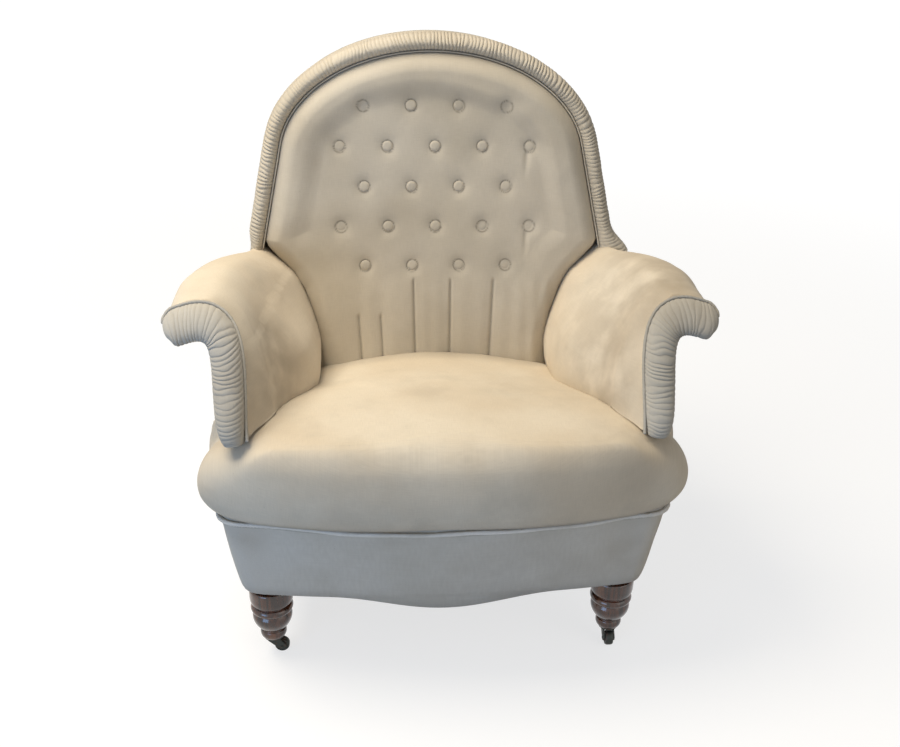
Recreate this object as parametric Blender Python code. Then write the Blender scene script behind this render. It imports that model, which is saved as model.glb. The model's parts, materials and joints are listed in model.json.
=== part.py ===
"""Sagging old armchair in its calico undercover, on turned legs and castors.

The chair stands on the floor at z = 0, faces -Y, and left means -X. Lengths are in metres.
"""

import math

import bmesh
import bpy
import numpy as np
from mathutils import Matrix, Vector
from mathutils.geometry import delaunay_2d_cdt

# Fits
GAP = 0.0003
RUNNING_GAP = 0.0003

# Seat frame
RAIL_BOTTOM = 0.142
RAIL_TOP = 0.215
RAIL_THICKNESS = 0.025
FRONT_BOW = 0.25
FRONT_CENTRE_Y = -0.252
CORNER_CLEARANCE = 0.003
FRONT_LEG_X = 0.265
LEG_BLOCK = 0.034
CORNER_X = 0.270
BACK_LEG_X = 0.245
BACK_LEG_WIDTH = 0.025
BACK_LEG_DEPTH = 0.030
BACK_LEG_BEND_Z = 0.127
BACK_RAIL_END = 0.012
BACK_FOOT_X = 0.232
BACK_FOOT_Y = 0.252

# Front legs, turned
LEG_END_Z = 0.0308
LEG_COLLAR_RADIUS = 0.0305
LEG_BULB_RADIUS = 0.0275
LEG_NECK_RADIUS = 0.0160
LEG_RING_RADIUS = 0.0185
LEG_TIP_RADIUS = 0.0150

# Castors
WHEEL_RADIUS = 0.0115
WHEEL_WIDTH = 0.012
WHEEL_CLEARANCE = 0.0006
HORN_CLEARANCE = 0.0015
CASTOR_TRAIL = 0.012
CHEEK_THICKNESS = 0.0025
AXLE_RADIUS = 0.002
HORN_PLATE_THICKNESS = 0.003
STEM_RADIUS = 0.003
CASTOR_PLATE_RADIUS = 0.0155

# Back: the pad's face and the frame's front plane both lean
BACK_Z = 0.764
BACK_FACE_Y = 0.225
BACK_FACE_LEAN = 0.254
BACK_FRAME_Y = 0.295
BACK_FRAME_LEAN = 0.19
ARCH_BASE_Z = 0.680
ARCH_HALF_WIDTH = 0.2535
ARCH_HEIGHT = 0.165
ARCH_SPLAY = 0.2037
BORDER_WIDTH = 0.028
BORDER_END_Z = 0.538
BORDER_LIP = 0.0035
HOOP_INSET = 0.002
HOOP_WIDTH = 0.014
HOOP_DEPTH = 0.030
HOOP_END_Z = 0.580
OUTSIDE_THICKNESS = 0.004
GATHER_PITCH = 0.0128
GATHER_DEPTH = 0.0013
BACK_PAD_BOTTOM_Z = 0.285
BACK_SIDE_HEIGHTS = (0.285, 0.330, 0.360, 0.390, 0.430, 0.466, 0.495)
SEAM_DEPTH = 0.014
ROLL_HEIGHT = 0.010
ROLL_WIDTH = 0.045
FIELD_HEIGHT = 0.003
TUCK_DEPTH = 0.005

# Buttons
BUTTON_ROWS = (4, 5, 4, 5, 4)
BUTTON_SPACING = 0.079
BUTTON_ROW_STEP = 0.0636
BUTTON_TOP_Z = 0.7625
BUTTON_RADIUS = 0.009
BUTTON_HEIGHT = 0.0062
BUTTON_SEAT_RADIUS = 0.0112
BUTTON_SEAT_DEPTH = 0.006

# Seat pad
PAD_BOTTOM_Z = 0.2803
PAD_FRONT_Y = -0.318
PAD_FRONT_BOW = 0.50
EAR_X = 0.356
EAR_FRONT_Y = -0.222
EAR_BACK_Y = -0.168
REAR_TIGHTNESS = 0.8
REAR_TIGHT_LENGTH = 0.05
REAR_LEAN_LENGTH = 0.09
REAR_CLEARANCE = 0.001
SEAT_MIDDLE_Y = -0.220
SEAT_TOP_Z = 0.412
SEAT_SAG = 0.050
SEAT_CROWN_FRONT = 0.30
SEAT_CROWN_BACK = 0.95

# Arms
ARM_SHELF_Z = 0.4035
ARM_SHELF_DROP = 0.0018
ARM_SHELF_Y = -0.163
ARM_FRONT_Y = -0.2430
ARM_FRONT_LEAN = 0.72
ARM_BOTTOM_Z = RAIL_TOP + GAP
ARM_FLARE_START_Y = 0.155
ARM_FLARE_LENGTH = 0.20
ARM_NARROW_START_Y = 0.03
ARM_NARROW_LENGTH = 0.20
ARM_BAR_RADIUS = 0.006
FACING_HALF_WIDTH = 0.0215
FACING_HEIGHT = 0.029
ARM_GATHER_IN = 0.027
FACING_PITCH = 0.0075
FACING_GATHER = 0.0013

# Outside arms
PANEL_START_Y = EAR_BACK_Y + 0.006
PANEL_MIDDLE_Z = 0.300
PANEL_STEP_Y = 0.158
PANEL_RISE_Y = 0.175

# Front border
APRON_TOP_Z = PAD_BOTTOM_Z - GAP
APRON_FLARE = 0.032
APRON_THICKNESS = 0.010
APRON_BOTTOM_Z = 0.137
APRON_DROP = 0.0295
APRON_DROP_HALF_WIDTH = 0.18

# Springs and webbing
SPRING_COLUMNS = (-0.11, 0.0, 0.11)
SPRING_ROWS = (-0.15, -0.045, 0.06)
SPRING_WIRE_RADIUS = 0.0020
SPRING_END_RADIUS = 0.032
SPRING_WAIST_RADIUS = 0.021
SPRING_TURNS = 4.0
WEB_HALF_SPAN = 0.262
WEB_FRONT_Y = -0.225
WEB_BACK_Y = 0.195
WEB_WIDTH = 0.050
WEB_THICKNESS = 0.0014

CALICO = ((0.72, 0.67, 0.58), 0.92, 0.0)
BEECH = ((0.50, 0.36, 0.22), 0.70, 0.0)
MAHOGANY = ((0.13, 0.05, 0.03), 0.28, 0.0)
IRON = ((0.09, 0.10, 0.09), 0.55, 0.9)
STEEL_WIRE = ((0.32, 0.30, 0.27), 0.45, 1.0)
JUTE = ((0.42, 0.33, 0.20), 0.95, 0.0)


def clear_scene() -> None:
    """Remove every object that the file holds."""
    for item in list(bpy.data.objects):
        bpy.data.objects.remove(item)


def material(name: str, look: tuple) -> bpy.types.Material:
    """A plain surface of one colour, roughness and metallic value."""
    colour, roughness, metallic = look
    made = bpy.data.materials.new(name)
    made.use_nodes = True
    shader = made.node_tree.nodes["Principled BSDF"]
    shader.inputs["Base Color"].default_value = (*colour, 1.0)
    shader.inputs["Roughness"].default_value = roughness
    shader.inputs["Metallic"].default_value = metallic
    made.diffuse_color = (*colour, 1.0)
    return made


def add_object(name: str, work: bmesh.types.BMesh, look: tuple, sharp: float = 35.0):
    """Turn the working mesh into a named object with its own material."""
    bmesh.ops.recalc_face_normals(work, faces=work.faces)
    if work.calc_volume(signed=True) < 0:
        bmesh.ops.reverse_faces(work, faces=work.faces)
    mesh = bpy.data.meshes.new(name)
    work.to_mesh(mesh)
    work.free()
    mesh.shade_smooth()
    mesh.set_sharp_from_angle(angle=math.radians(sharp))
    mesh.materials.append(material(name, look))
    made = bpy.data.objects.new(name, mesh)
    bpy.context.scene.collection.objects.link(made)
    return made


def mirrored(points: list, side: int) -> list:
    """Right-hand points, or their mirror images when side is -1."""
    return [Vector((side * p[0], p[1], p[2])) for p in points]


def loft(rings: list) -> bmesh.types.BMesh:
    """A closed skin through rings of equally many points, with a flat cap at each end."""
    work = bmesh.new()
    rows = [[work.verts.new(p) for p in ring] for ring in rings]
    count = len(rows[0])
    for low, high in zip(rows, rows[1:]):
        for i in range(count):
            j = (i + 1) % count
            work.faces.new((low[i], low[j], high[j], high[i]))
    caps = [work.faces.new(rows[0][::-1]), work.faces.new(rows[-1])]
    bmesh.ops.triangulate(work, faces=caps)
    return work


def smoothstep(value: float) -> float:
    """Ease from 0 to 1."""
    t = min(max(value, 0.0), 1.0)
    return t * t * (3.0 - 2.0 * t)


def through(points: list, value: float) -> float:
    """Read a curve given by (place, value) pairs with places rising."""
    return float(np.interp(value, [p[0] for p in points], [p[1] for p in points]))


def face_y(z: float) -> float:
    """The back pad's face at height z, before its crown and dimples."""
    return BACK_FACE_Y + BACK_FACE_LEAN * (z - BACK_Z)


def frame_y(z: float) -> float:
    """The back frame's front plane at height z."""
    return BACK_FRAME_Y + BACK_FRAME_LEAN * (z - BACK_Z)


def seam_x(z: float) -> float:
    """Half the distance between the back's two straight seams at height z."""
    join = arch_join()
    join_z = ARCH_BASE_Z + ARCH_HEIGHT * math.sin(join)
    return ARCH_HALF_WIDTH * math.cos(join) + (join_z - z) * ARCH_SPLAY


def arch_join() -> float:
    """The arch's angle where it runs into the splayed straight sides."""
    return math.atan(ARCH_SPLAY * ARCH_HEIGHT / ARCH_HALF_WIDTH)


def arch_path(end_z: float, step: float) -> list:
    """Evenly spaced (x, z, outward x, outward z) along the seam, over the top, left to right."""
    join = arch_join()
    join_z = ARCH_BASE_Z + ARCH_HEIGHT * math.sin(join)
    side = [(seam_x(z), z) for z in np.linspace(end_z, join_z, 60, endpoint=False)]
    turn = np.linspace(join, math.pi / 2, 180)
    side += [(ARCH_HALF_WIDTH * math.cos(t), ARCH_BASE_Z + ARCH_HEIGHT * math.sin(t)) for t in turn]
    whole = [(-x, z) for x, z in side] + [(x, z) for x, z in reversed(side[:-1])]
    points = np.array(whole)
    lengths = np.concatenate([[0.0], np.cumsum(np.hypot(*np.diff(points, axis=0).T))])
    count = max(int(round(lengths[-1] / step)), 8)
    places = np.linspace(0.0, lengths[-1], count + 1)
    xs = np.interp(places, lengths, points[:, 0])
    zs = np.interp(places, lengths, points[:, 1])
    along = np.stack([np.gradient(xs), np.gradient(zs)], 1)
    along /= np.hypot(along[:, 0], along[:, 1])[:, None]
    return [(x, z, -dz, dx) for x, z, (dx, dz) in zip(xs, zs, along)]


def back_half_width(z: float) -> float:
    """Half the back pad's width: between the arms below, inside the seam above."""
    between_arms = [
        (BACK_PAD_BOTTOM_Z, 0.2005),
        (0.330, 0.1990),
        (0.360, 0.1945),
        (0.390, 0.1955),
        (0.430, 0.2055),
        (0.466, 0.2185),
        (0.495, 0.2365),
        (0.520, 0.2620),
        (0.540, seam_x(0.540)),
    ]
    return through(between_arms, z)


def triangulated(outline: list, inside: list) -> tuple:
    """Triangles over a flat outline and points inside it, as points and index triples."""
    points = [Vector(p) for p in outline + inside]
    faces = [list(range(len(outline)))]
    made = delaunay_2d_cdt(points, [], faces, 1, 1e-6)
    order = [origin[0] for origin in made[3]]
    return points, [[order[i] for i in triangle] for triangle in made[2]]


def slab(outline: list, inside: list, front, back) -> bmesh.types.BMesh:
    """A solid between two surfaces y = front(x, z) and y = back(x, z) over one outline."""
    work = bmesh.new()
    points, triangles = triangulated(outline, inside)
    face = [work.verts.new((p[0], front(p[0], p[1]), p[1])) for p in points]
    for a, b, c in triangles:
        work.faces.new((face[a], face[b], face[c]))
    rim = [work.verts.new((p[0], back(p[0], p[1]), p[1])) for p in outline]
    _, triangles = triangulated(outline, [])
    for a, b, c in triangles:
        work.faces.new((rim[a], rim[c], rim[b]))
    count = len(outline)
    for i in range(count):
        j = (i + 1) % count
        work.faces.new((face[i], rim[i], rim[j], face[j]))
    return work


def box(low: tuple, high: tuple) -> bmesh.types.BMesh:
    """An upright box between two corners."""
    ring = [(low[0], low[1]), (high[0], low[1]), (high[0], high[1]), (low[0], high[1])]
    return loft([[Vector((x, y, z)) for x, y in ring] for z in (low[2], high[2])])


def turned(profile: list, sides: int) -> list:
    """Rings of a turned piece about Z from (radius, z) pairs, bottom first."""
    turns = [2 * math.pi * i / sides for i in range(sides)]
    return [[Vector((r * math.cos(t), r * math.sin(t), z)) for t in turns] for r, z in profile]


def front_face_y(x: float) -> float:
    """The front border's lower edge in plan, a shallow bow."""
    return FRONT_CENTRE_Y + FRONT_BOW * x * x


def block_front_y() -> float:
    """The front leg block's front face, set just behind the front border."""
    return front_face_y(FRONT_LEG_X + LEG_BLOCK / 2) + APRON_THICKNESS + CORNER_CLEARANCE


def leg_axis_y() -> float:
    """The front leg's axis in plan."""
    return block_front_y() + LEG_BLOCK / 2


def make_front_rail() -> None:
    """The bowed front rail between the two leg blocks."""
    half = FRONT_LEG_X - LEG_BLOCK / 2 - GAP
    rings = []
    for x in np.linspace(-half, half, 13):
        front = front_face_y(x) + APRON_THICKNESS + GAP
        corners = [(front, RAIL_BOTTOM), (front + RAIL_THICKNESS, RAIL_BOTTOM)]
        corners += [(front + RAIL_THICKNESS, RAIL_TOP), (front, RAIL_TOP)]
        rings.append([Vector((x, y, z)) for y, z in corners])
    add_object("front_seat_rail", loft(rings), BEECH)


def make_back_rail() -> None:
    """The straight back rail between the back legs, leaning with them."""
    half = BACK_LEG_X - BACK_LEG_WIDTH / 2 - BACK_RAIL_END
    rings = []
    for z in (RAIL_BOTTOM, RAIL_TOP):
        y = frame_y(z)
        corners = [(-half, y), (half, y), (half, y + RAIL_THICKNESS), (-half, y + RAIL_THICKNESS)]
        rings.append([Vector((a, b, z)) for a, b in corners])
    add_object("back_seat_rail", loft(rings), BEECH)


def side_rail_edge(y: float, outer: bool) -> float:
    """Distance from the middle to a side rail's face: it runs in towards the back."""
    start = leg_axis_y() + LEG_BLOCK / 2
    end = frame_y(RAIL_TOP)
    share = min((y - start) / (end - start), 1.0)
    front = FRONT_LEG_X + LEG_BLOCK / 2
    rear = BACK_LEG_X + BACK_LEG_WIDTH / 2
    edge = front + (rear - front) * share
    return edge if outer else edge - RAIL_THICKNESS


def make_side_rail(name: str, side: int) -> None:
    """One side rail, from the front leg's block to the back leg."""
    start = leg_axis_y() + LEG_BLOCK / 2 + GAP
    rings = []
    for z in (RAIL_BOTTOM, RAIL_TOP):
        end = frame_y(z) - GAP
        corners = [(side_rail_edge(start, False), start), (side_rail_edge(start, True), start)]
        corners += [(side_rail_edge(end, True), end), (side_rail_edge(end, False), end)]
        rings.append(mirrored([(x, y, z) for x, y in corners], side))
    add_object(name, loft(rings), BEECH)


def upright_x(z: float) -> float:
    """The back leg's middle: under the rail it rakes in, above it follows the hoop."""
    hoop_middle = seam_x(HOOP_END_Z) + HOOP_INSET + HOOP_WIDTH / 2
    line = [(0.0, BACK_FOOT_X), (RAIL_BOTTOM, BACK_LEG_X), (RAIL_TOP, BACK_LEG_X)]
    return through(line + [(HOOP_END_Z, hoop_middle)], z)


def upright_half_width(z: float) -> float:
    """Half the back leg's width: it tapers above the rail to the hoop's width."""
    return through([(RAIL_TOP, BACK_LEG_WIDTH / 2), (BORDER_END_Z - 0.04, HOOP_WIDTH / 2)], z)


def make_back_leg(name: str, side: int) -> None:
    """A back leg with its upright, one raked piece from the floor to the hoop."""
    rings = []
    rake = [(0.0, BACK_FOOT_Y - BACK_LEG_DEPTH), (BACK_LEG_BEND_Z, frame_y(BACK_LEG_BEND_Z))]
    for z in (0.0, BACK_LEG_BEND_Z / 2, BACK_LEG_BEND_Z, RAIL_TOP, BORDER_END_Z - 0.04, HOOP_END_Z - GAP):
        front = through(rake, z) if z < BACK_LEG_BEND_Z else frame_y(z)
        half = upright_half_width(z)
        x = upright_x(z)
        corners = [(x - half, front), (x + half, front)]
        corners += [(x + half, front + BACK_LEG_DEPTH), (x - half, front + BACK_LEG_DEPTH)]
        rings.append(mirrored([(a, b, z) for a, b in corners], side))
    add_object(name, loft(rings), MAHOGANY)


def leg_profile() -> list:
    """Radius and height of the turned part, from the foot up."""
    return [
        (LEG_TIP_RADIUS, LEG_END_Z),
        (LEG_RING_RADIUS - 0.001, LEG_END_Z + 0.004),
        (LEG_RING_RADIUS, LEG_END_Z + 0.009),
        (LEG_RING_RADIUS - 0.001, LEG_END_Z + 0.014),
        (LEG_NECK_RADIUS, LEG_END_Z + 0.017),
        (LEG_NECK_RADIUS + 0.003, LEG_END_Z + 0.021),
        (LEG_BULB_RADIUS - 0.003, LEG_END_Z + 0.029),
        (LEG_BULB_RADIUS, LEG_END_Z + 0.038),
        (LEG_BULB_RADIUS, LEG_END_Z + 0.044),
        (LEG_BULB_RADIUS - 0.0025, LEG_END_Z + 0.050),
        (LEG_COLLAR_RADIUS - 0.002, LEG_END_Z + 0.053),
        (LEG_COLLAR_RADIUS - 0.001, LEG_END_Z + 0.057),
        (LEG_COLLAR_RADIUS - 0.002, LEG_END_Z + 0.061),
        (LEG_COLLAR_RADIUS - 0.005, LEG_END_Z + 0.064),
        (LEG_COLLAR_RADIUS - 0.0005, LEG_END_Z + 0.071),
        (LEG_COLLAR_RADIUS, LEG_END_Z + 0.081),
        (LEG_COLLAR_RADIUS - 0.0005, LEG_END_Z + 0.094),
        (LEG_BLOCK * 0.62, LEG_END_Z + 0.098),
    ]


def make_front_leg(name: str, side: int) -> None:
    """A turned front leg with the square block that holds the rails."""
    sides = 16
    rings = turned(leg_profile(), sides)
    half = LEG_BLOCK / 2
    for z in (LEG_END_Z + 0.100, RAIL_TOP):
        ring = []
        for i in range(sides):
            turn = 2 * math.pi * i / sides
            reach = half / max(abs(math.cos(turn)), abs(math.sin(turn)))
            ring.append(Vector((reach * math.cos(turn), reach * math.sin(turn), z)))
        rings.append(ring)
    made = add_object(name, loft(rings), MAHOGANY)
    made.location = (side * FRONT_LEG_X, leg_axis_y(), 0.0)


def horn_plate_z() -> float:
    """The top of the castor horn's plate."""
    return 2 * WHEEL_RADIUS + HORN_CLEARANCE + HORN_PLATE_THICKNESS


def make_castor_plate(name: str, side: int) -> None:
    """The plate under the leg with the stem that the horn turns on."""
    top = horn_plate_z()
    profile = [(STEM_RADIUS, top - HORN_PLATE_THICKNESS - 0.0007), (STEM_RADIUS, top + RUNNING_GAP)]
    profile += [(CASTOR_PLATE_RADIUS - 0.002, top + RUNNING_GAP), (CASTOR_PLATE_RADIUS, top + 0.001)]
    profile += [(CASTOR_PLATE_RADIUS, LEG_END_Z - GAP)]
    made = add_object(name, loft(turned(profile, 20)), IRON)
    made.location = (side * FRONT_LEG_X, leg_axis_y(), 0.0)


def horn_mesh() -> bmesh.types.BMesh:
    """One cheek outline on each side, a plate between them and the axle through both."""
    inner = WHEEL_WIDTH / 2 + WHEEL_CLEARANCE
    outer = inner + CHEEK_THICKNESS
    top = horn_plate_z()
    cheek = [(-0.009, top), (-0.009, top - HORN_PLATE_THICKNESS)]
    cheek += [(CASTOR_TRAIL - 0.005, WHEEL_RADIUS - 0.002), (CASTOR_TRAIL, WHEEL_RADIUS - 0.005)]
    cheek += [(CASTOR_TRAIL + 0.005, WHEEL_RADIUS - 0.002)]
    cheek += [(CASTOR_TRAIL + 0.006, WHEEL_RADIUS + 0.004)]
    cheek += [(0.010, top - HORN_PLATE_THICKNESS), (0.010, top)]
    work = bmesh.new()
    lines = [[work.verts.new((x, y, z)) for x, z in cheek] for y in (-outer, -inner, inner, outer)]
    first, second, third, fourth = lines
    count = len(cheek)
    caps = [first, second[::-1], third, fourth[::-1]]
    faces = [work.faces.new(cap) for cap in caps]
    for left, right in ((first, second), (third, fourth)):
        for i in range(count):
            j = (i + 1) % count
            work.faces.new((left[i], left[j], right[j], right[i]))
    bmesh.ops.triangulate(work, faces=faces)
    return work


def combine(target, other, operation: str) -> None:
    """Join another closed solid to the target, or cut it out, and remove the other object.

    The exact solver loses the thin cheeks here, so this is the manifold one.
    """
    step = target.modifiers.new(operation.lower(), "BOOLEAN")
    step.operation = operation
    step.solver = "MANIFOLD"
    step.object = other
    bpy.context.view_layer.update()
    seen = target.evaluated_get(bpy.context.evaluated_depsgraph_get())
    mesh = bpy.data.meshes.new_from_object(seen)
    target.modifiers.clear()
    target.data = mesh
    bpy.data.objects.remove(other)


def lying(rings: list) -> list:
    """Turn rings about Z into rings about Y."""
    return [[Vector((p.x, p.z, -p.y)) for p in ring] for ring in rings]


def make_castor_horn(name: str, side: int, heading: float) -> None:
    """The forked horn with its axle, turned about the stem to its heading."""
    horn = add_object(name, horn_mesh(), IRON)
    outer = WHEEL_WIDTH / 2 + WHEEL_CLEARANCE + CHEEK_THICKNESS
    top = horn_plate_z()
    low = (-0.0086, -outer + 0.0005, top - HORN_PLATE_THICKNESS + 0.0004)
    plate = add_object("plate", box(low, (0.0096, outer - 0.0005, top - 0.0002)), IRON)
    combine(horn, plate, "UNION")
    bar = [(AXLE_RADIUS, -outer - 0.001), (AXLE_RADIUS, outer + 0.001)]
    axle = add_object("axle", loft(lying(turned(bar, 12))), IRON)
    axle.location = (CASTOR_TRAIL, 0.0, WHEEL_RADIUS)
    combine(horn, axle, "UNION")
    bore = STEM_RADIUS + RUNNING_GAP
    hole = add_object("hole", loft(turned([(bore, top - 0.006), (bore, top + 0.002)], 20)), IRON)
    combine(horn, hole, "DIFFERENCE")
    horn.location = (side * FRONT_LEG_X, leg_axis_y(), 0.0)
    horn.rotation_euler = (0.0, 0.0, heading)


def make_castor_wheel(name: str, side: int, heading: float) -> None:
    """The wheel, a rounded tread round a bore that clears the axle."""
    half = WHEEL_WIDTH / 2
    bore = AXLE_RADIUS + RUNNING_GAP
    profile = [(bore, -half), (WHEEL_RADIUS - 0.003, -half), (WHEEL_RADIUS, -half + 0.003)]
    profile += [(WHEEL_RADIUS, half - 0.003), (WHEEL_RADIUS - 0.003, half), (bore, half)]
    rings = lying(turned(profile, 20))
    work = bmesh.new()
    rows = [[work.verts.new(p) for p in ring] for ring in rings]
    for low, high in zip(rows, rows[1:] + rows[:1]):
        for i in range(20):
            j = (i + 1) % 20
            work.faces.new((low[i], low[j], high[j], high[i]))
    wheel = add_object(name, work, IRON)
    reach_x = CASTOR_TRAIL * math.cos(heading)
    reach_y = CASTOR_TRAIL * math.sin(heading)
    wheel.location = (side * FRONT_LEG_X + reach_x, leg_axis_y() + reach_y, WHEEL_RADIUS)
    wheel.rotation_euler = (0.0, 0.0, heading)


def swept_arch(end_z: float, step: float, section) -> bmesh.types.BMesh:
    """Carry a section of (outward, forward) points along the back's seam."""
    rings = []
    for index, (x, z, out_x, out_z) in enumerate(arch_path(end_z, step)):
        ring = []
        for outward, forward in section(z, index):
            height = z + outward * out_z
            ring.append(Vector((x + outward * out_x, frame_y(height) - forward, height)))
        rings.append(ring)
    return loft(rings)


def make_hoop() -> None:
    """The bent hoop that tops the uprights."""
    outer = HOOP_INSET + HOOP_WIDTH

    def section(z: float, index: int) -> list:
        return [(HOOP_INSET, 0.0), (outer, 0.0), (outer, -HOOP_DEPTH), (HOOP_INSET, -HOOP_DEPTH)]

    add_object("back_hoop", swept_arch(HOOP_END_Z, 0.022, section), BEECH)


def make_back_border() -> None:
    """The gathered border round the back: a stuffed front and a lip over the hoop's side."""
    inner_lip = HOOP_INSET + HOOP_WIDTH + 2 * GAP
    outer_lip = inner_lip + BORDER_LIP

    def section(z: float, index: int) -> list:
        depth = frame_y(z) - face_y(z)
        gather = GATHER_DEPTH * (1 if index % 2 else -1)
        crown = [(0.20 * BORDER_WIDTH, depth - 0.003), (0.50 * BORDER_WIDTH, depth + 0.002)]
        crown += [(0.80 * BORDER_WIDTH, depth - 0.005), (BORDER_WIDTH, depth - 0.020)]
        crown.append((BORDER_WIDTH - 0.001, depth * 0.5))
        soft = [(r + gather * r / BORDER_WIDTH, n + gather) for r, n in crown]
        ring = [(0.0, GAP), (0.0, depth - SEAM_DEPTH)] + soft
        lip_back = -HOOP_DEPTH - OUTSIDE_THICKNESS - 2 * GAP
        ring += [(outer_lip + 0.002, 0.0), (outer_lip, lip_back)]
        return ring + [(inner_lip, lip_back), (inner_lip, GAP)]

    add_object("back_border", swept_arch(BORDER_END_Z, GATHER_PITCH / 2, section), CALICO)


def back_pad_outline() -> list:
    """The back pad seen from the front, as (x, z) from the bottom right, anticlockwise."""
    low = [(back_half_width(z), z) for z in (*BACK_SIDE_HEIGHTS, 0.52, 0.54)]
    fit = 1.5 * GAP
    high = [(x - fit * nx, z - fit * nz) for x, z, nx, nz in arch_path(0.552, 0.016)]
    low_left = [(-x, z) for x, z in low]
    return low + high[::-1] + low_left[::-1]


def button_places() -> list:
    """Each button's (x, z), row by row from the top, left to right."""
    places = []
    for row, count in enumerate(BUTTON_ROWS):
        z = BUTTON_TOP_Z - row * BUTTON_ROW_STEP
        places += [((column - (count - 1) / 2) * BUTTON_SPACING, z) for column in range(count)]
    return places


def edge_distance(x: float, z: float, outline: np.ndarray) -> float:
    """Distance from a point to the outline's nearest side."""
    start = outline
    along = np.roll(outline, -1, axis=0) - start
    share = ((x - start[:, 0]) * along[:, 0] + (z - start[:, 1]) * along[:, 1]) / (along**2).sum(1)
    share = np.clip(share, 0.0, 1.0)
    near = start + along * share[:, None]
    return float(np.hypot(near[:, 0] - x, near[:, 1] - z).min())


def make_back_pad() -> None:
    """The stuffed back: a roll inside the seam, button pits and tucks below the last row."""
    outline = back_pad_outline()
    edge = np.array(outline)
    seam = np.array([(x, z - ROLL_WIDTH * 3 * (z <= BACK_PAD_BOTTOM_Z)) for x, z in outline])
    buttons = button_places()
    last_z = BUTTON_TOP_Z - (len(BUTTON_ROWS) - 1) * BUTTON_ROW_STEP
    tucks = [x for x, z in buttons[-BUTTON_ROWS[-1]:]]

    def front(x: float, z: float) -> float:
        inside = edge_distance(x, z, seam)
        rise = smoothstep(inside / (ROLL_WIDTH * 0.5))
        fall = smoothstep((inside - ROLL_WIDTH * 0.6) / ROLL_WIDTH)
        height = -SEAM_DEPTH + rise * (SEAM_DEPTH + ROLL_HEIGHT) - fall * (ROLL_HEIGHT - FIELD_HEIGHT)
        pit = min(math.hypot(x - bx, z - bz) for bx, bz in buttons)
        if pit < BUTTON_SEAT_RADIUS + 1e-5:
            height = -BUTTON_SEAT_DEPTH
        elif pit < 0.024:
            height -= 0.003 * (1.0 - (pit - BUTTON_SEAT_RADIUS) / 0.013)
        if z < last_z - 0.018 and min(abs(x - tuck) for tuck in tucks) < 0.001:
            height -= TUCK_DEPTH
        return face_y(z) - height

    def back(x: float, z: float) -> float:
        return frame_y(z) - GAP

    inside = list(buttons)
    rim = [(math.cos(math.pi / 3 * i), math.sin(math.pi / 3 * i)) for i in range(6)]
    for bx, bz in buttons:
        inside += [(bx + BUTTON_SEAT_RADIUS * u, bz + BUTTON_SEAT_RADIUS * v) for u, v in rim]
    step_x = BUTTON_SPACING / 5
    for row in range(-6, 26):
        z = last_z + row * BUTTON_ROW_STEP / 4
        shift = 0.5 if row % 2 else 0.0
        for column in range(-20, 21):
            x = (column + shift) * step_x
            clear = min(math.hypot(x - bx, z - bz) for bx, bz in buttons)
            if clear < BUTTON_SEAT_RADIUS + 0.004 or not within(x, z, edge):
                continue
            off_tucks = z > last_z - 0.018 or min(abs(x - tuck) for tuck in tucks) > 0.004
            if off_tucks and edge_distance(x, z, edge) > 0.006:
                inside.append((x, z))
    for tuck in tucks:
        for z in np.linspace(BACK_PAD_BOTTOM_Z + 0.012, last_z - 0.020, 12):
            inside.append((tuck, float(z)))
    add_object("back_pad", slab(outline, inside, front, back), CALICO, 60.0)


def within(x: float, z: float, outline: np.ndarray) -> bool:
    """Whether a point lies inside the outline."""
    count = 0
    for (x0, z0), (x1, z1) in zip(outline, np.roll(outline, -1, axis=0)):
        if (z0 > z) != (z1 > z) and x < x0 + (z - z0) * (x1 - x0) / (z1 - z0):
            count += 1
    return count % 2 == 1


def make_buttons() -> None:
    """Covered buttons, seated in the back's pits and square to its lean."""
    profile = [(BUTTON_RADIUS * 0.85, 0.0), (BUTTON_RADIUS, BUTTON_HEIGHT * 0.3)]
    profile += [(BUTTON_RADIUS * 0.55, BUTTON_HEIGHT)]
    lean = math.atan(BACK_FACE_LEAN)
    for index, (x, z) in enumerate(button_places(), 1):
        made = add_object(f"back_button_{index}", loft(turned(profile, 10)), CALICO)
        made.location = (x, face_y(z) + BUTTON_SEAT_DEPTH - GAP / math.cos(lean), z)
        made.rotation_euler = (math.pi / 2 - lean, 0.0, 0.0)


def make_outside_back() -> None:
    """The plain cloth panel behind the back, from the rail's foot to inside the border's lip."""
    inset = HOOP_INSET + HOOP_WIDTH - GAP
    arch = [(x + inset * nx, z + inset * nz) for x, z, nx, nz in arch_path(HOOP_END_Z, 0.03)]
    low = [(upright_x(z) + upright_half_width(z), z) for z in (RAIL_BOTTOM, RAIL_TOP, 0.40)]
    outline = low + arch[::-1] + [(-x, z) for x, z in low[::-1]]

    def front(x: float, z: float) -> float:
        return frame_y(z) + BACK_LEG_DEPTH + GAP

    def back(x: float, z: float) -> float:
        return front(x, z) + OUTSIDE_THICKNESS

    add_object("outside_back", slab(outline, [], front, back), CALICO)


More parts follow.
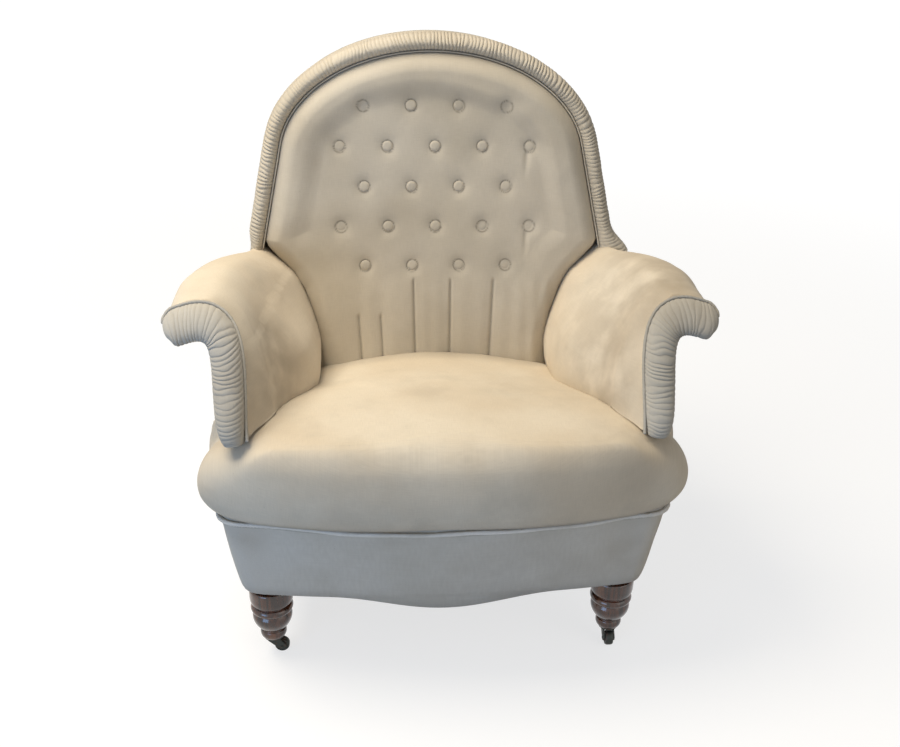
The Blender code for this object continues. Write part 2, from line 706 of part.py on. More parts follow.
def seat_outline() -> list:
    """The seat pad in plan at its widest, from the front middle to the right and round."""
    def front(x: float) -> tuple:
        return (x, PAD_FRONT_Y + PAD_FRONT_BOW * x * x)

    right = [front(0.06), front(0.12), front(0.18), front(0.24), front(0.285)]
    right += [(0.322, EAR_FRONT_Y - 0.040), (0.345, EAR_FRONT_Y - 0.022), (EAR_X, EAR_FRONT_Y)]
    right += [(EAR_X - 0.003, EAR_BACK_Y - 0.022), (0.338, EAR_BACK_Y - 0.005), (0.312, EAR_BACK_Y)]
    right += [(0.275, EAR_BACK_Y), (arm_inner_x(EAR_BACK_Y) - 0.004, EAR_BACK_Y + 0.004)]
    right += [(arm_inner_x(y) - 0.002, y) for y in (-0.14, -0.11, -0.08, -0.05, -0.02, 0.02, 0.06)]
    rear = face_y(PAD_BOTTOM_Z) - FIELD_HEIGHT - REAR_CLEARANCE
    right += [(back_half_width(0.36) - 0.003, rear - 0.015), (0.184, rear - 0.008)]
    right += [(0.15, rear - 0.0065), (0.10, rear), (0.05, rear)]
    left = [(-x, y) for x, y in right[::-1]]
    return [(0.0, PAD_FRONT_Y)] + right + [(0.0, rear)] + left


def seat_ring(inset: float, share: float, scale: float) -> list:
    """A ring of the seat pad: the outline drawn in, at a share of the height to the top.

    Its rear leans with the back's face, so the two meet all the way up.
    """
    middle = Vector((0.0, SEAT_MIDDLE_Y))
    ring = []
    for x, y in seat_outline():
        reach = Vector((x, y)) - middle
        rearward = smoothstep((y - EAR_BACK_Y) / REAR_TIGHT_LENGTH)
        tight = 1.0 - REAR_TIGHTNESS * rearward
        place = middle + reach * (1.0 - inset * tight / reach.length) * scale
        rise = share * (seat_top(place.x, place.y) - PAD_BOTTOM_Z)
        lean = BACK_FACE_LEAN * rise * smoothstep(y / REAR_LEAN_LENGTH) * scale
        ring.append(Vector((place.x, place.y + lean, PAD_BOTTOM_Z + rise)))
    return ring


def seat_top(x: float, y: float) -> float:
    """The seat's upper surface: high along the front roll, sagging to the back and sides."""
    share = smoothstep((y + 0.20) / 0.36)
    crown = SEAT_CROWN_FRONT + (SEAT_CROWN_BACK - SEAT_CROWN_FRONT) * share
    return SEAT_TOP_Z - SEAT_SAG * share - crown * min(abs(x), 0.21) ** 2


def make_seat_pad() -> None:
    """The sprung seat's stuffed top, with ears round the arms' fronts and a rolled edge."""
    profile = [(0.060, 0.0), (0.030, 0.0), (0.010, 0.10), (0.0, 0.33), (0.004, 0.62), (0.016, 0.85)]
    profile += [(0.034, 0.96), (0.060, 1.0)]
    rings = [seat_ring(inset, share, 1.0) for inset, share in profile]
    rings += [seat_ring(0.060, 1.0, scale) for scale in (0.55, 0.30, 0.10)]
    add_object("seat_pad", loft(rings), CALICO, 60.0)


def arm_inner_x(y: float) -> float:
    """The arm pad's inner face at seat level."""
    share = smoothstep((ARM_NARROW_START_Y - y) / ARM_NARROW_LENGTH)
    rear = back_half_width(0.38) + GAP
    return rear + (0.248 - rear) * share


def arm_front_y(z: float) -> float:
    """The arm pad's leaning front end."""
    return ARM_FRONT_Y + ARM_FRONT_LEAN * (z - ARM_SHELF_Z)


def arm_rear_section() -> list:
    """The arm's section beside the back pad, from the inner foot over the top and down inside."""
    fit = 2 * GAP
    inner = [(back_half_width(z) + fit, z) for z in (ARM_BOTTOM_Z, *BACK_SIDE_HEIGHTS)]
    top = [(0.0115, 0.5170), (0.0285, 0.5290), (0.0425, 0.5330), (0.0495, 0.5280), (0.0510, 0.5180)]
    under = [(0.0505, 0.5100), (0.0500, 0.5040), (0.0485, 0.5005)]
    pocket = [(0.0365, 0.4990), (0.0185, 0.4850), (0.0125, 0.4600), (0.0105, 0.4000)]
    pocket += [(0.0095, 0.3000), (0.0025, ARM_BOTTOM_Z)]
    return inner + [(ARCH_HALF_WIDTH + reach, z) for reach, z in top + under + pocket]


def arm_front_section() -> list:
    """The arm's section at its front, point for point with the rear one."""
    inner = [(0.2520, ARM_BOTTOM_Z), (0.2505, 0.285), (0.2495, 0.330), (0.2480, 0.365)]
    inner += [(0.2490, 0.400), (0.2540, 0.440), (0.2640, 0.480), (0.2840, 0.528)]
    top = [(0.3150, 0.5590), (0.3450, 0.5640), (0.3720, 0.5590), (0.3900, 0.5420), (0.3860, 0.5250)]
    under = [(0.3700, 0.5170), (0.3520, 0.5180), (0.3380, 0.5182)]
    pocket = [(0.3100, 0.5150), (0.2850, 0.4980), (0.2740, 0.4600), (0.2680, 0.3900)]
    pocket += [(0.2660, 0.3000), (0.2640, ARM_BOTTOM_Z)]
    return inner + top + under + pocket


def arm_ring(y: float, front_share: float, side: int) -> list:
    """One ring of the arm pad, near the plan position y."""
    flare = min(max((ARM_FLARE_START_Y - y) / ARM_FLARE_LENGTH, 0.0), 1.0)
    flare = 1.0 - (1.0 - flare) ** 2
    narrow = smoothstep((ARM_NARROW_START_Y - y) / ARM_NARROW_LENGTH)
    ring = []
    sections = zip(arm_rear_section(), arm_front_section())
    for index, ((x0, z0), (x1, z1)) in enumerate(sections):
        low = index < 6 or index > 18
        share = narrow if low else flare
        x = x0 + (x1 - x0) * share
        z = z0 + (z1 - z0) * share
        if index < 8 or index > 16:
            x += ARM_GATHER_IN * smoothstep(front_share)
        if front_share > 0.0:
            below = max(0.0, ARM_SHELF_Z - z) / (ARM_SHELF_Z - ARM_BOTTOM_Z)
            z = max(z, ARM_SHELF_Z) - ARM_SHELF_DROP * below
        rear = frame_y(z) - GAP
        lean = (rear - frame_y(0.5)) * max(0.0, min(1.0, (y - 0.10) / 0.12))
        place = y + lean
        if y < 0.0:
            reach = ARM_SHELF_Y / ARM_FRONT_Y
            reach += (1.0 - reach) * front_share
            place = y / ARM_SHELF_Y * arm_front_y(max(z, ARM_SHELF_Z)) * reach
        ring.append((x, place, z))
    return mirrored(ring, side)


def make_arm_pad(name: str, side: int) -> None:
    """The stuffed arm: inner face, scrolled top and the pocket that holds the arm's bar."""
    rear = frame_y(0.5)
    stations = [rear, 0.20, 0.155, 0.13, 0.10, 0.07, 0.04, 0.0, -0.04, -0.08, -0.12]
    stations.append(ARM_SHELF_Y + 0.004)
    rings = [arm_ring(y, 0.0, side) for y in stations]
    rings += [arm_ring(ARM_SHELF_Y, share, side) for share in (0.02, 0.5, 1.0)]
    add_object(name, loft(rings), CALICO, 60.0)


def facing_path() -> list:
    """The facing's middle line in (x, z), up the arm's front and over into the scroll."""
    points = [(0.2980, ARM_SHELF_Z + GAP), (0.3020, 0.438), (0.3045, 0.478), (0.3085, 0.508)]
    points += [(0.3180, 0.528), (0.3330, 0.5390), (0.3500, 0.5410), (0.3670, 0.5390), (0.3820, 0.5360)]
    fine = smooth_line([Vector((x, z, 0.0)) for x, z in points], 8)
    lengths = np.concatenate([[0.0], np.cumsum([(b - a).length for a, b in zip(fine, fine[1:])])])
    count = int(round(lengths[-1] / (FACING_PITCH / 2)))
    places = np.linspace(0.0, lengths[-1], count + 1)
    xs = np.interp(places, lengths, [p.x for p in fine])
    zs = np.interp(places, lengths, [p.y for p in fine])
    return list(zip(xs, zs))


def smooth_line(points: list, steps: int) -> list:
    """A smooth curve through points, as a denser list of points."""
    ends = [points[0] * 2 - points[1]] + points + [points[-1] * 2 - points[-2]]
    line = []
    for a, b, c, d in zip(ends, ends[1:], ends[2:], ends[3:]):
        for step in range(steps):
            t = step / steps
            line.append(0.5 * ((2 * b) + (c - a) * t + (2 * a - 5 * b + 4 * c - d) * t * t
                               + (3 * b - a - 3 * c + d) * t**3))
    return line + [points[-1]]


def make_facing(name: str, side: int) -> None:
    """The gathered strip on the arm's front, a stuffed band bent into a hook."""
    path = facing_path()
    across = np.gradient(np.array(path), axis=0)
    across /= np.hypot(across[:, 0], across[:, 1])[:, None]
    crown = [(-1.0, 0.0), (-0.96, 0.55), (-0.6, 0.93), (0.0, 1.0)]
    crown += [(-share, height) for share, height in crown[2::-1]]
    rings = []
    last = len(path) - 1
    for index, ((x, z), (dx, dz)) in enumerate(zip(path, across)):
        gather = FACING_GATHER * (1 if index % 2 else -1)
        taper = math.sqrt(max(0.12, 1.0 - max(0.0, (index - last + 4) / 4.2) ** 2))
        width = FACING_HALF_WIDTH * (0.80 + 0.20 * smoothstep(index / 14)) * taper
        ring = []
        for share, height in crown:
            rise = (FACING_HEIGHT * height + gather * (height > 0.0)) * (0.55 + 0.45 * taper)
            height_z = z - share * width * dx
            ring.append((x + share * width * dz, arm_front_y(height_z) - 1.25 * GAP - rise, height_z))
        rings.append(mirrored([(a, b, max(c, ARM_SHELF_Z + GAP)) for a, b, c in ring], side))
    add_object(name, loft(rings), CALICO, 60.0)


def panel_profile(share: float, step: float, rise: float) -> list:
    """Outer face of the outside arm as (x, z), from its foot to the scroll's tuck.

    At the back its top steps out past the arm's end and rises to the border.
    """
    front = [(0.300, APRON_BOTTOM_Z), (0.313, 0.21), (0.3225, 0.28), (0.3230, 0.36)]
    front += [(0.3225, 0.43), (0.3290, 0.488), (0.3360, 0.5145)]
    side = ARCH_HALF_WIDTH
    rear = [(side + 0.0235, APRON_BOTTOM_Z), (side + 0.0255, 0.21), (side + 0.0315, 0.28)]
    rear += [(side + 0.0385, 0.36), (side + 0.0445, 0.44), (side + 0.0475, 0.485)]
    rear.append((side + 0.0490, 0.4955))
    blend = [(Vector(a), Vector(b)) for a, b in zip(front, rear)]
    whole = [tuple(a.lerp(b, share)) for a, b in blend]
    (x0, z0), (x1, z1) = whole[-2:]
    whole[-2:] = [(x0 + 0.0075 * step, z0 + 0.012 * rise), (x1 + 0.0070 * step, z1 + 0.0400 * rise)]
    return whole


def make_outside_arm(name: str, side: int) -> None:
    """The plain side panel from the scroll's tuck down over the rail."""
    rings = []
    end = frame_y(PANEL_MIDDLE_Z) + BACK_LEG_DEPTH
    stations = [PANEL_START_Y, -0.12, -0.08, -0.04, 0.0, 0.04, 0.08, 0.12]
    stations += [PANEL_STEP_Y, PANEL_STEP_Y + 0.014, PANEL_RISE_Y + 0.017, end]
    for y in stations:
        flare = min(max((ARM_FLARE_START_Y - y) / ARM_FLARE_LENGTH, 0.0), 1.0)
        share = (1.0 - flare) ** 2
        lean = BACK_FRAME_LEAN * max(0.0, y / end)
        outer = []
        inner = []
        step = smoothstep((y - PANEL_STEP_Y) / 0.012)
        rise = smoothstep((y - PANEL_RISE_Y) / 0.015)
        for x, z in panel_profile(share, step, rise):
            place = max(y + lean * (z - PANEL_MIDDLE_Z), arm_front_y(z) + 4 * GAP)
            outer.append((x, place, z))
            thin = side_rail_edge(place, True) + GAP if z < RAIL_TOP else x - OUTSIDE_THICKNESS
            inner.append((thin, place, z))
        rings.append(mirrored(outer + inner[::-1], side))
    add_object(name, loft(rings), CALICO)


def make_arm_frame(name: str, side: int) -> None:
    """The bent bar inside the arm, from the upright forward and down to the side rail."""
    start_z = 0.468
    start_y = frame_y(start_z) - ARM_BAR_RADIUS * BACK_FRAME_LEAN - 2 * GAP
    rear_x = ARCH_HALF_WIDTH + 0.0255
    spread = 0.3020 - rear_x
    points = [(rear_x, start_y, start_z), (rear_x, 0.190, 0.471)]
    points += [(rear_x + 0.304 * spread, 0.130, 0.474), (rear_x + 0.739 * spread, 0.070, 0.484)]
    points += [(0.3020, 0.000, 0.491), (0.3020, -0.060, 0.488), (0.2980, -0.105, 0.468)]
    points += [(0.2920, -0.130, 0.430), (0.2860, -0.142, 0.360), (0.2790, -0.146, 0.290)]
    points += [(0.2735, -0.148, 0.240), (0.2735, -0.148, RAIL_TOP + GAP)]
    line = smooth_line([Vector(p) for p in points], 2)
    rings = []
    for index, place in enumerate(line):
        ahead = line[min(index + 1, len(line) - 1)] - line[max(index - 1, 0)]
        ahead = Vector((0, 0, -1)) if index == len(line) - 1 else ahead.normalized()
        ahead = Vector((0, -1, 0)) if index == 0 else ahead
        across = ahead.cross(Vector((1, 0, 0))).normalized()
        rise = across.cross(ahead)
        turns = [2 * math.pi * i / 6 for i in range(6)]
        ring = [place + ARM_BAR_RADIUS * (math.cos(t) * across + math.sin(t) * rise) for t in turns]
        rings.append(mirrored(ring, side))
    add_object(name, loft(rings), IRON)


def apron_bottom(x: float) -> float:
    """The front border's serpentine lower edge."""
    if abs(x) > APRON_DROP_HALF_WIDTH:
        return APRON_BOTTOM_Z
    wave = 0.5 + 0.5 * math.cos(math.pi * x / APRON_DROP_HALF_WIDTH)
    return APRON_BOTTOM_Z - APRON_DROP * wave


def make_front_border() -> None:
    """The flared border under the front roll, bowed in plan and turned round both corners."""
    base_y = front_face_y(CORNER_X)
    corner = [(CORNER_X, 0.0), (CORNER_X + 0.016, 0.004), (CORNER_X + 0.026, 0.012)]
    corner += [(CORNER_X + 0.030, 0.024), (CORNER_X + 0.030, 0.040)]
    corner.append((CORNER_X + 0.030, PANEL_START_Y - GAP - base_y))
    right = []
    for x in np.linspace(0.0, CORNER_X - 0.020, 12):
        right.append((x, front_face_y(x), 0.0, -1.0, APRON_FLARE - FRONT_BOW * x * x))
    turns = (12.0, 35.0, 60.0, 80.0, 90.0, 90.0)
    flares = (0.016, 0.021, 0.026, 0.029, 0.029, 0.0225)
    for (x, back), turn, flare in zip(corner, turns, flares):
        turn = math.radians(turn)
        right.append((x, base_y + back, math.sin(turn), -math.cos(turn), flare))
    line = [(-x, y, -nx, ny, flare) for x, y, nx, ny, flare in right[:0:-1]] + right
    rings = []
    for x, y, nx, ny, most in line:
        low = apron_bottom(x)
        heights = (low, low + 0.03, 0.21, 0.255, APRON_TOP_Z)
        outer = []
        for z in heights:
            flare = most * (z - APRON_BOTTOM_Z) / (APRON_TOP_Z - APRON_BOTTOM_Z)
            outer.append((x + nx * flare, y + ny * flare, z))
        thick = APRON_THICKNESS
        inner = [(x - nx * thick, y - ny * thick, z) for z in heights]
        rings.append([Vector(p) for p in outer + inner[::-1]])
    add_object("front_border", loft(rings), CALICO, 50.0)


def make_springs() -> None:
    """Waisted coil springs with closed end turns, standing on the webbing."""
    low = RAIL_BOTTOM + SPRING_WIRE_RADIUS + GAP
    high = PAD_BOTTOM_Z - SPRING_WIRE_RADIUS - GAP
    count = int(SPRING_TURNS * 8)
    line = []
    for step in range(count + 1):
        share = step / count
        turn = 2 * math.pi * SPRING_TURNS * share
        level = min(max((share - 0.12) / 0.76, 0.0), 1.0)
        rise = 0.35 * smoothstep((share - 0.10) / 0.80) + 0.65 * level
        waist = math.sin(math.pi * share)
        radius = SPRING_END_RADIUS + (SPRING_WAIST_RADIUS - SPRING_END_RADIUS) * waist
        height = low + (high - low) * rise
        line.append(Vector((radius * math.cos(turn), radius * math.sin(turn), height)))
    rings = []
    for index, place in enumerate(line):
        ahead = (line[min(index + 1, count)] - line[max(index - 1, 0)]).normalized()
        out = Vector((place.x, place.y, 0.0)).normalized()
        up = ahead.cross(out).normalized()
        turns = [2 * math.pi * i / 4 for i in range(4)]
        ring = [place + SPRING_WIRE_RADIUS * (math.cos(t) * out + math.sin(t) * up) for t in turns]
        rings.append(ring)
    number = 0
    for y in SPRING_ROWS:
        for x in SPRING_COLUMNS:
            number += 1
            made = add_object(f"seat_spring_{number}", loft(rings), STEEL_WIRE)
            made.location = (x, y, 0.0)


def make_webbing() -> None:
    """Webs crossed under the springs and tacked below the rails, as one lattice."""
    edges_x = [x + s * WEB_WIDTH / 2 for x in SPRING_COLUMNS for s in (-1, 1)]
    edges_y = [y + s * WEB_WIDTH / 2 for y in SPRING_ROWS for s in (-1, 1)]
    edges_x = [-WEB_HALF_SPAN] + edges_x + [WEB_HALF_SPAN]
    edges_y = [WEB_FRONT_Y] + edges_y + [WEB_BACK_Y]
    top = RAIL_BOTTOM - GAP
    work = bmesh.new()
    layers = []
    for z in (top - WEB_THICKNESS, top):
        layers.append([[work.verts.new((x, y, z)) for y in edges_y] for x in edges_x])
    solid = set()
    for i in range(len(edges_x) - 1):
        for j in range(len(edges_y) - 1):
            if i % 2 == 1 or j % 2 == 1:
                solid.add((i, j))
    for i, j in solid:
        for layer, order in ((layers[0], 1), (layers[1], -1)):
            corners = [layer[i][j], layer[i][j + 1], layer[i + 1][j + 1], layer[i + 1][j]]
            work.faces.new(corners[::order])
        sides = (((i - 1, j), (i, j), (i, j + 1)), ((i + 1, j), (i + 1, j + 1), (i + 1, j)))
        sides += (((i, j - 1), (i + 1, j), (i, j)), ((i, j + 1), (i, j + 1), (i + 1, j + 1)))
        for other, a, b in sides:
            if other not in solid:
                low, high = ([layer[m][n] for m, n in (a, b)] for layer in layers)
                work.faces.new((*low, high[1], high[0]))
    loose = [v for v in work.verts if not v.link_faces]
    bmesh.ops.delete(work, geom=loose, context="VERTS")
    add_object("seat_webbing", work, JUTE)


def make_castor(prefix: str, side: int, heading: float) -> None:
    """A front castor, its horn swung to a heading about the stem."""
    make_castor_plate(f"{prefix}_castor_plate", side)
    make_castor_horn(f"{prefix}_castor_horn", side, heading)
    make_castor_wheel(f"{prefix}_castor_wheel", side, heading)


def stand_on_origin() -> None:
    """Hang every piece on one empty that sets the chair's box over the origin."""
    bpy.context.view_layer.update()
    pieces = list(bpy.context.scene.objects)
    places = [item.matrix_world @ Vector(corner) for item in pieces for corner in item.bound_box]
    middle = (min(p.y for p in places) + max(p.y for p in places)) / 2
    chair = bpy.data.objects.new("chair", None)
    bpy.context.scene.collection.objects.link(chair)
    for item in pieces:
        item.parent = chair
    chair.location = (0.0, -middle, 0.0)


def main() -> None:
    """Build every piece."""
    clear_scene()
    make_front_rail()
    make_back_rail()
    for prefix, side in (("left", -1), ("right", 1)):
        make_side_rail(f"{prefix}_seat_rail", side)
        make_front_leg(f"{prefix}_front_leg", side)
        make_back_leg(f"{prefix}_back_leg", side)
        make_arm_frame(f"{prefix}_arm_frame", side)
        make_arm_pad(f"{prefix}_arm_pad", side)
        make_facing(f"{prefix}_arm_facing", side)
        make_outside_arm(f"{prefix}_outside_arm", side)
    make_hoop()
    make_webbing()
    make_springs()
    make_seat_pad()
    make_front_border()
    make_back_pad()
    make_back_border()
    make_buttons()
    make_outside_back()
    make_castor("left", -1, 0.0)
    make_castor("right", 1, math.radians(-90.0))
    stand_on_origin()


main()
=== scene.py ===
"""Looks of the sagging old armchair: calico covers, gathers, buttons, turned legs and castors.

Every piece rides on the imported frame. Lengths are in metres, +Z is up and the chair faces -Y.
"""

from __future__ import annotations

import json
import logging
import math
from dataclasses import dataclass, field
from enum import Enum
from typing import Callable, Sequence

import bmesh
import bpy
import numpy as np
from mathutils import Matrix, Vector

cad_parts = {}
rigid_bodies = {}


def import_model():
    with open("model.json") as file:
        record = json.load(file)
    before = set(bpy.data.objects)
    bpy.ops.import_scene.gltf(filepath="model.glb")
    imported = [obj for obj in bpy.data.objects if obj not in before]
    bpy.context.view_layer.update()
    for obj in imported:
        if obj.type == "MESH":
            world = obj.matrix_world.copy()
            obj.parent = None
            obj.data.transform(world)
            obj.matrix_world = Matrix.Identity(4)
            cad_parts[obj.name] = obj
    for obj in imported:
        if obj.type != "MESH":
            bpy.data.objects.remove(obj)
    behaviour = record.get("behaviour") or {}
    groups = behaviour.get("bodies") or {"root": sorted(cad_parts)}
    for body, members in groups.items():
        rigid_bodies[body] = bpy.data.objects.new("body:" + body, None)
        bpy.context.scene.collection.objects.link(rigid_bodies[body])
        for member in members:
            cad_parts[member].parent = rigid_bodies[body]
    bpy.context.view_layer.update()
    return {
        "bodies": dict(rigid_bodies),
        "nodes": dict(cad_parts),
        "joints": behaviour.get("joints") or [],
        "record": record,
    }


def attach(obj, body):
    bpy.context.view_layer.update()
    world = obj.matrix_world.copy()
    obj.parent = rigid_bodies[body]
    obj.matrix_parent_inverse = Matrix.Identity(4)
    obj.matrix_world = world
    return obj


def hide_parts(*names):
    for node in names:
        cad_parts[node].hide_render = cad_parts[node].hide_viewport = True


LOG = logging.getLogger("armchair")
PLAN_SHIFT = -0.015403
WHITE = (1.0, 1.0, 1.0, 1.0)
SMOOTH = {"interpolation_type": "SMOOTHSTEP"}
CHAIR = "chair"


class Side(Enum):
    """A side of the chair, as the sign of its x."""

    LEFT = -1
    RIGHT = 1

    @property
    def word(self) -> str:
        """The side's name as the frame's nodes write it."""
        return self.name.lower()


class Drift:
    """Smooth seeded unevenness over space, for handwork that is never quite regular."""

    def __init__(self, seed: int) -> None:
        """Fill a repeating block of random values.

        Args:
            seed: Number that fixes the block.
        """
        self.block = np.random.default_rng(seed).uniform(-1.0, 1.0, (32, 32, 32))

    def at(self, points: np.ndarray, size: float) -> np.ndarray:
        """Read the unevenness at points.

        Args:
            points: Places, one row each.
            size: Distance over which it changes.

        Returns:
            One value from -1 to 1 for each point.
        """
        cell = points / size
        base = np.floor(cell).astype(int)
        part = cell - base
        part = part * part * (3.0 - 2.0 * part)
        total = np.zeros(len(points))
        for i in (0, 1):
            for j in (0, 1):
                for k in (0, 1):
                    weight = np.abs(1 - i - part[:, 0]) * np.abs(1 - j - part[:, 1])
                    weight = weight * np.abs(1 - k - part[:, 2])
                    corner = (base + (i, j, k)) % 32
                    total += weight * self.block[corner[:, 0], corner[:, 1], corner[:, 2]]
        return total


def unit(value: np.ndarray) -> np.ndarray:
    """Keep values from 0 to 1."""
    return np.clip(value, 0.0, 1.0)


def bell(value: np.ndarray, width: float) -> np.ndarray:
    """Fall from 1 at 0 to almost nothing at twice the width on both sides."""
    return np.exp(-((value / width) ** 2))


def dome(value: np.ndarray) -> np.ndarray:
    """Rise from 0 to 1 like a quarter of a circle."""
    return np.sqrt(unit(1.0 - unit(1.0 - value) ** 2))


def ease(value: np.ndarray) -> np.ndarray:
    """Ease from 0 to 1 with flat ends."""
    t = unit(value)
    return t * t * (3.0 - 2.0 * t)


def nearest(share: np.ndarray, last: int) -> np.ndarray:
    """The whole numbers from 0 to the last one that shares from 0 to 1 fall on."""
    return np.clip(np.round(share * last).astype(int), 0, last)


def lengths(line: np.ndarray) -> np.ndarray:
    """How far along a line each of its points is."""
    return np.concatenate([[0.0], np.cumsum(np.linalg.norm(np.diff(line, axis=0), axis=1))])


def read(line: np.ndarray, places: np.ndarray, wanted: np.ndarray) -> np.ndarray:
    """Read a line's columns at the wanted ones of its places."""
    return np.stack([np.interp(wanted, places, column) for column in line.T], 1)


def evenly(line: np.ndarray, places: np.ndarray, count: int) -> np.ndarray:
    """Read a line's columns at even distances."""
    return read(line, places, np.linspace(0.0, places[-1], count))


def spline(rows: np.ndarray, pieces: int) -> np.ndarray:
    """Follow a smooth curve through all rows but the outer two.

    Args:
        rows: Points, with one more before the curve and one more after it.
        pieces: Number of places on each stretch.

    Returns:
        The places, one row each, without the curve's end.
    """
    t = np.linspace(0.0, 1.0, pieces, endpoint=False)[:, None]
    fine = []
    for a, b, c, d in zip(rows, rows[1:], rows[2:], rows[3:]):
        cubic = (2 * b) + (c - a) * t + (2 * a - 5 * b + 4 * c - d) * t**2
        fine.append(0.5 * (cubic + (3 * b - a - 3 * c + d) * t**3))
    return np.vstack(fine)


def curve_through(points: Sequence, count: int, closed: bool = False) -> np.ndarray:
    """Resample a smooth curve through points at even distances.

    Args:
        points: Places that the curve passes, one row each.
        count: Number of places wanted.
        closed: Whether the curve returns to its first point.

    Returns:
        The places, one row each.
    """
    rows = np.array(points, float)
    if closed:
        rows = np.vstack([rows[-1:], rows, rows[:2]])
    else:
        rows = np.vstack([2 * rows[:1] - rows[1:2], rows, 2 * rows[-1:] - rows[-2:-1]])
    line = np.vstack([spline(rows, 12), rows[-2:-1]])
    return evenly(line, lengths(line), count)


def distance_to(points: np.ndarray, line: np.ndarray) -> np.ndarray:
    """Distance from flat points to a polyline.

    Args:
        points: Places with two columns.
        line: The polyline's corners in order.

    Returns:
        One distance for each point.
    """
    best = np.full(len(points), 9.0)
    for a, b in zip(line, line[1:]):
        along = b - a
        share = unit(((points - a) @ along) / max(float(along @ along), 1e-12))
        gap = points - (a + share[:, None] * along)
        best = np.minimum(best, np.hypot(gap[:, 0], gap[:, 1]))
    return best


class Shape:
    """A mesh in the making, shaped by bmesh operators and then made an object."""

    def __init__(self, name: str) -> None:
        """Start with nothing.

        Args:
            name: The finished piece's name.
        """
        self.name = name
        self.work = bmesh.new()
        self.weave = self.work.loops.layers.uv.new("weave")
        # Per-vertex painted shade: how far each vertex's cloth is darkened for creases, seams and
        # tucked edges.
        self.soil = self.work.verts.layers.float.new("soil")

    def sheet(
        self,
        across: int,
        along: int,
        place: Callable[[np.ndarray, np.ndarray], tuple],
        size: tuple = (1.0, 1.0),
    ) -> "Shape":
        """Make a grid and carry its vertices to a surface.

        Args:
            across: Number of faces along u.
            along: Number of faces along v.
            place: Gives the places and the painted shade for arrays of u and v from 0 to 1.
            size: Length of the sheet along u and v, which scales its weave.

        Returns:
            This shape.
        """
        bmesh.ops.create_grid(self.work, x_segments=across, y_segments=along, size=0.5)
        verts = list(self.work.verts)
        flat = np.array([vert.co[:2] for vert in verts]) + 0.5
        self.woven(lambda co: ((co.x + 0.5) * size[0], (co.y + 0.5) * size[1]))
        places, soil = place(flat[:, 0], flat[:, 1])
        soil = np.broadcast_to(soil, len(verts))
        for vert, co, shade_amount in zip(verts, places, soil):
            vert.co = co
            vert[self.soil] = float(shade_amount)
        return self

    def woven(self, spot: Callable[[Vector], tuple]) -> "Shape":
        """Lay the weave by where the vertices are.

        Args:
            spot: Gives a vertex's place in the flat cloth.

        Returns:
            This shape.
        """
        for face in self.work.faces:
            for corner in face.loops:
                corner[self.weave].uv = spot(corner.vert.co)
        return self

    def turned(self, profile: Sequence, steps: int) -> "Shape":
        """Turn a profile about Z.

        Args:
            profile: Radius and height pairs from one end to the other.
            steps: Number of faces round.

        Returns:
            This shape.
        """
        chain = [self.work.verts.new((radius, 0.0, height)) for radius, height in profile]
        edges = [self.work.edges.new(pair) for pair in zip(chain, chain[1:])]
        bmesh.ops.spin(
            self.work,
            geom=chain + edges,
            cent=(0, 0, 0),
            axis=(0, 0, 1),
            angle=2 * math.pi,
            steps=steps,
            use_merge=True,
        )
        return self

    def moved(self, matrix: Matrix) -> "Shape":
        """Turn and move the whole shape."""
        bmesh.ops.transform(self.work, matrix=matrix, verts=self.work.verts)
        return self

    def closed(self, gap: float = 1e-5) -> "Shape":
        """Merge doubles, fill open ends and face everything outwards.

        Args:
            gap: Distance under which vertices merge.

        Returns:
            This shape.
        """
        bmesh.ops.remove_doubles(self.work, verts=self.work.verts, dist=gap)
        bmesh.ops.dissolve_degenerate(self.work, edges=self.work.edges, dist=gap / 2)
        rim = [edge for edge in self.work.edges if edge.is_boundary]
        if rim:
            bmesh.ops.holes_fill(self.work, edges=rim, sides=0)
        bmesh.ops.recalc_face_normals(self.work, faces=self.work.faces)
        if self.work.calc_volume(signed=True) < 0:
            bmesh.ops.reverse_faces(self.work, faces=self.work.faces)
        return self

    def object(self, smooth: float = 180.0) -> bpy.types.Object:
        """Make the shape an object of the scene.

        Args:
            smooth: Angle in degrees above which an edge stays sharp.

        Returns:
            The new object, at the origin.
        """
        mesh = bpy.data.meshes.new(self.name)
        self.work.to_mesh(mesh)
        self.work.free()
        mesh.shade_smooth()
        if smooth < 180.0:
            mesh.set_sharp_from_angle(angle=math.radians(smooth))
        piece = bpy.data.objects.new(self.name, mesh)
        bpy.context.scene.collection.objects.link(piece)
        return piece


class Value:
    """A shader socket that takes part in Python arithmetic."""

    def __init__(self, graph: "Graph", socket: bpy.types.NodeSocket) -> None:
        """Wrap a socket.

        Args:
            graph: The graph that the socket is in.
            socket: An output socket.
        """
        self.graph = graph
        self.socket = socket

    def __add__(self, other: "Value | float") -> "Value":
        """Add."""
        return self.graph.math("ADD", self, other)

    __radd__ = __add__

    def __sub__(self, other: "Value | float") -> "Value":
        """Subtract."""
        return self.graph.math("SUBTRACT", self, other)

    def __rsub__(self, other: float) -> "Value":
        """Subtract from a number."""
        return self.graph.math("SUBTRACT", other, self)

    def __mul__(self, other: "Value | float") -> "Value":
        """Multiply."""
        return self.graph.math("MULTIPLY", self, other)

    __rmul__ = __mul__

    def band(self, low: float, high: float) -> "Value":
        """Ease from 0 at the low value to 1 at the high one."""
        values = {"Value": self, "From Min": low, "From Max": high}
        return self.graph.node("ShaderNodeMapRange", "Result", SMOOTH, **values)


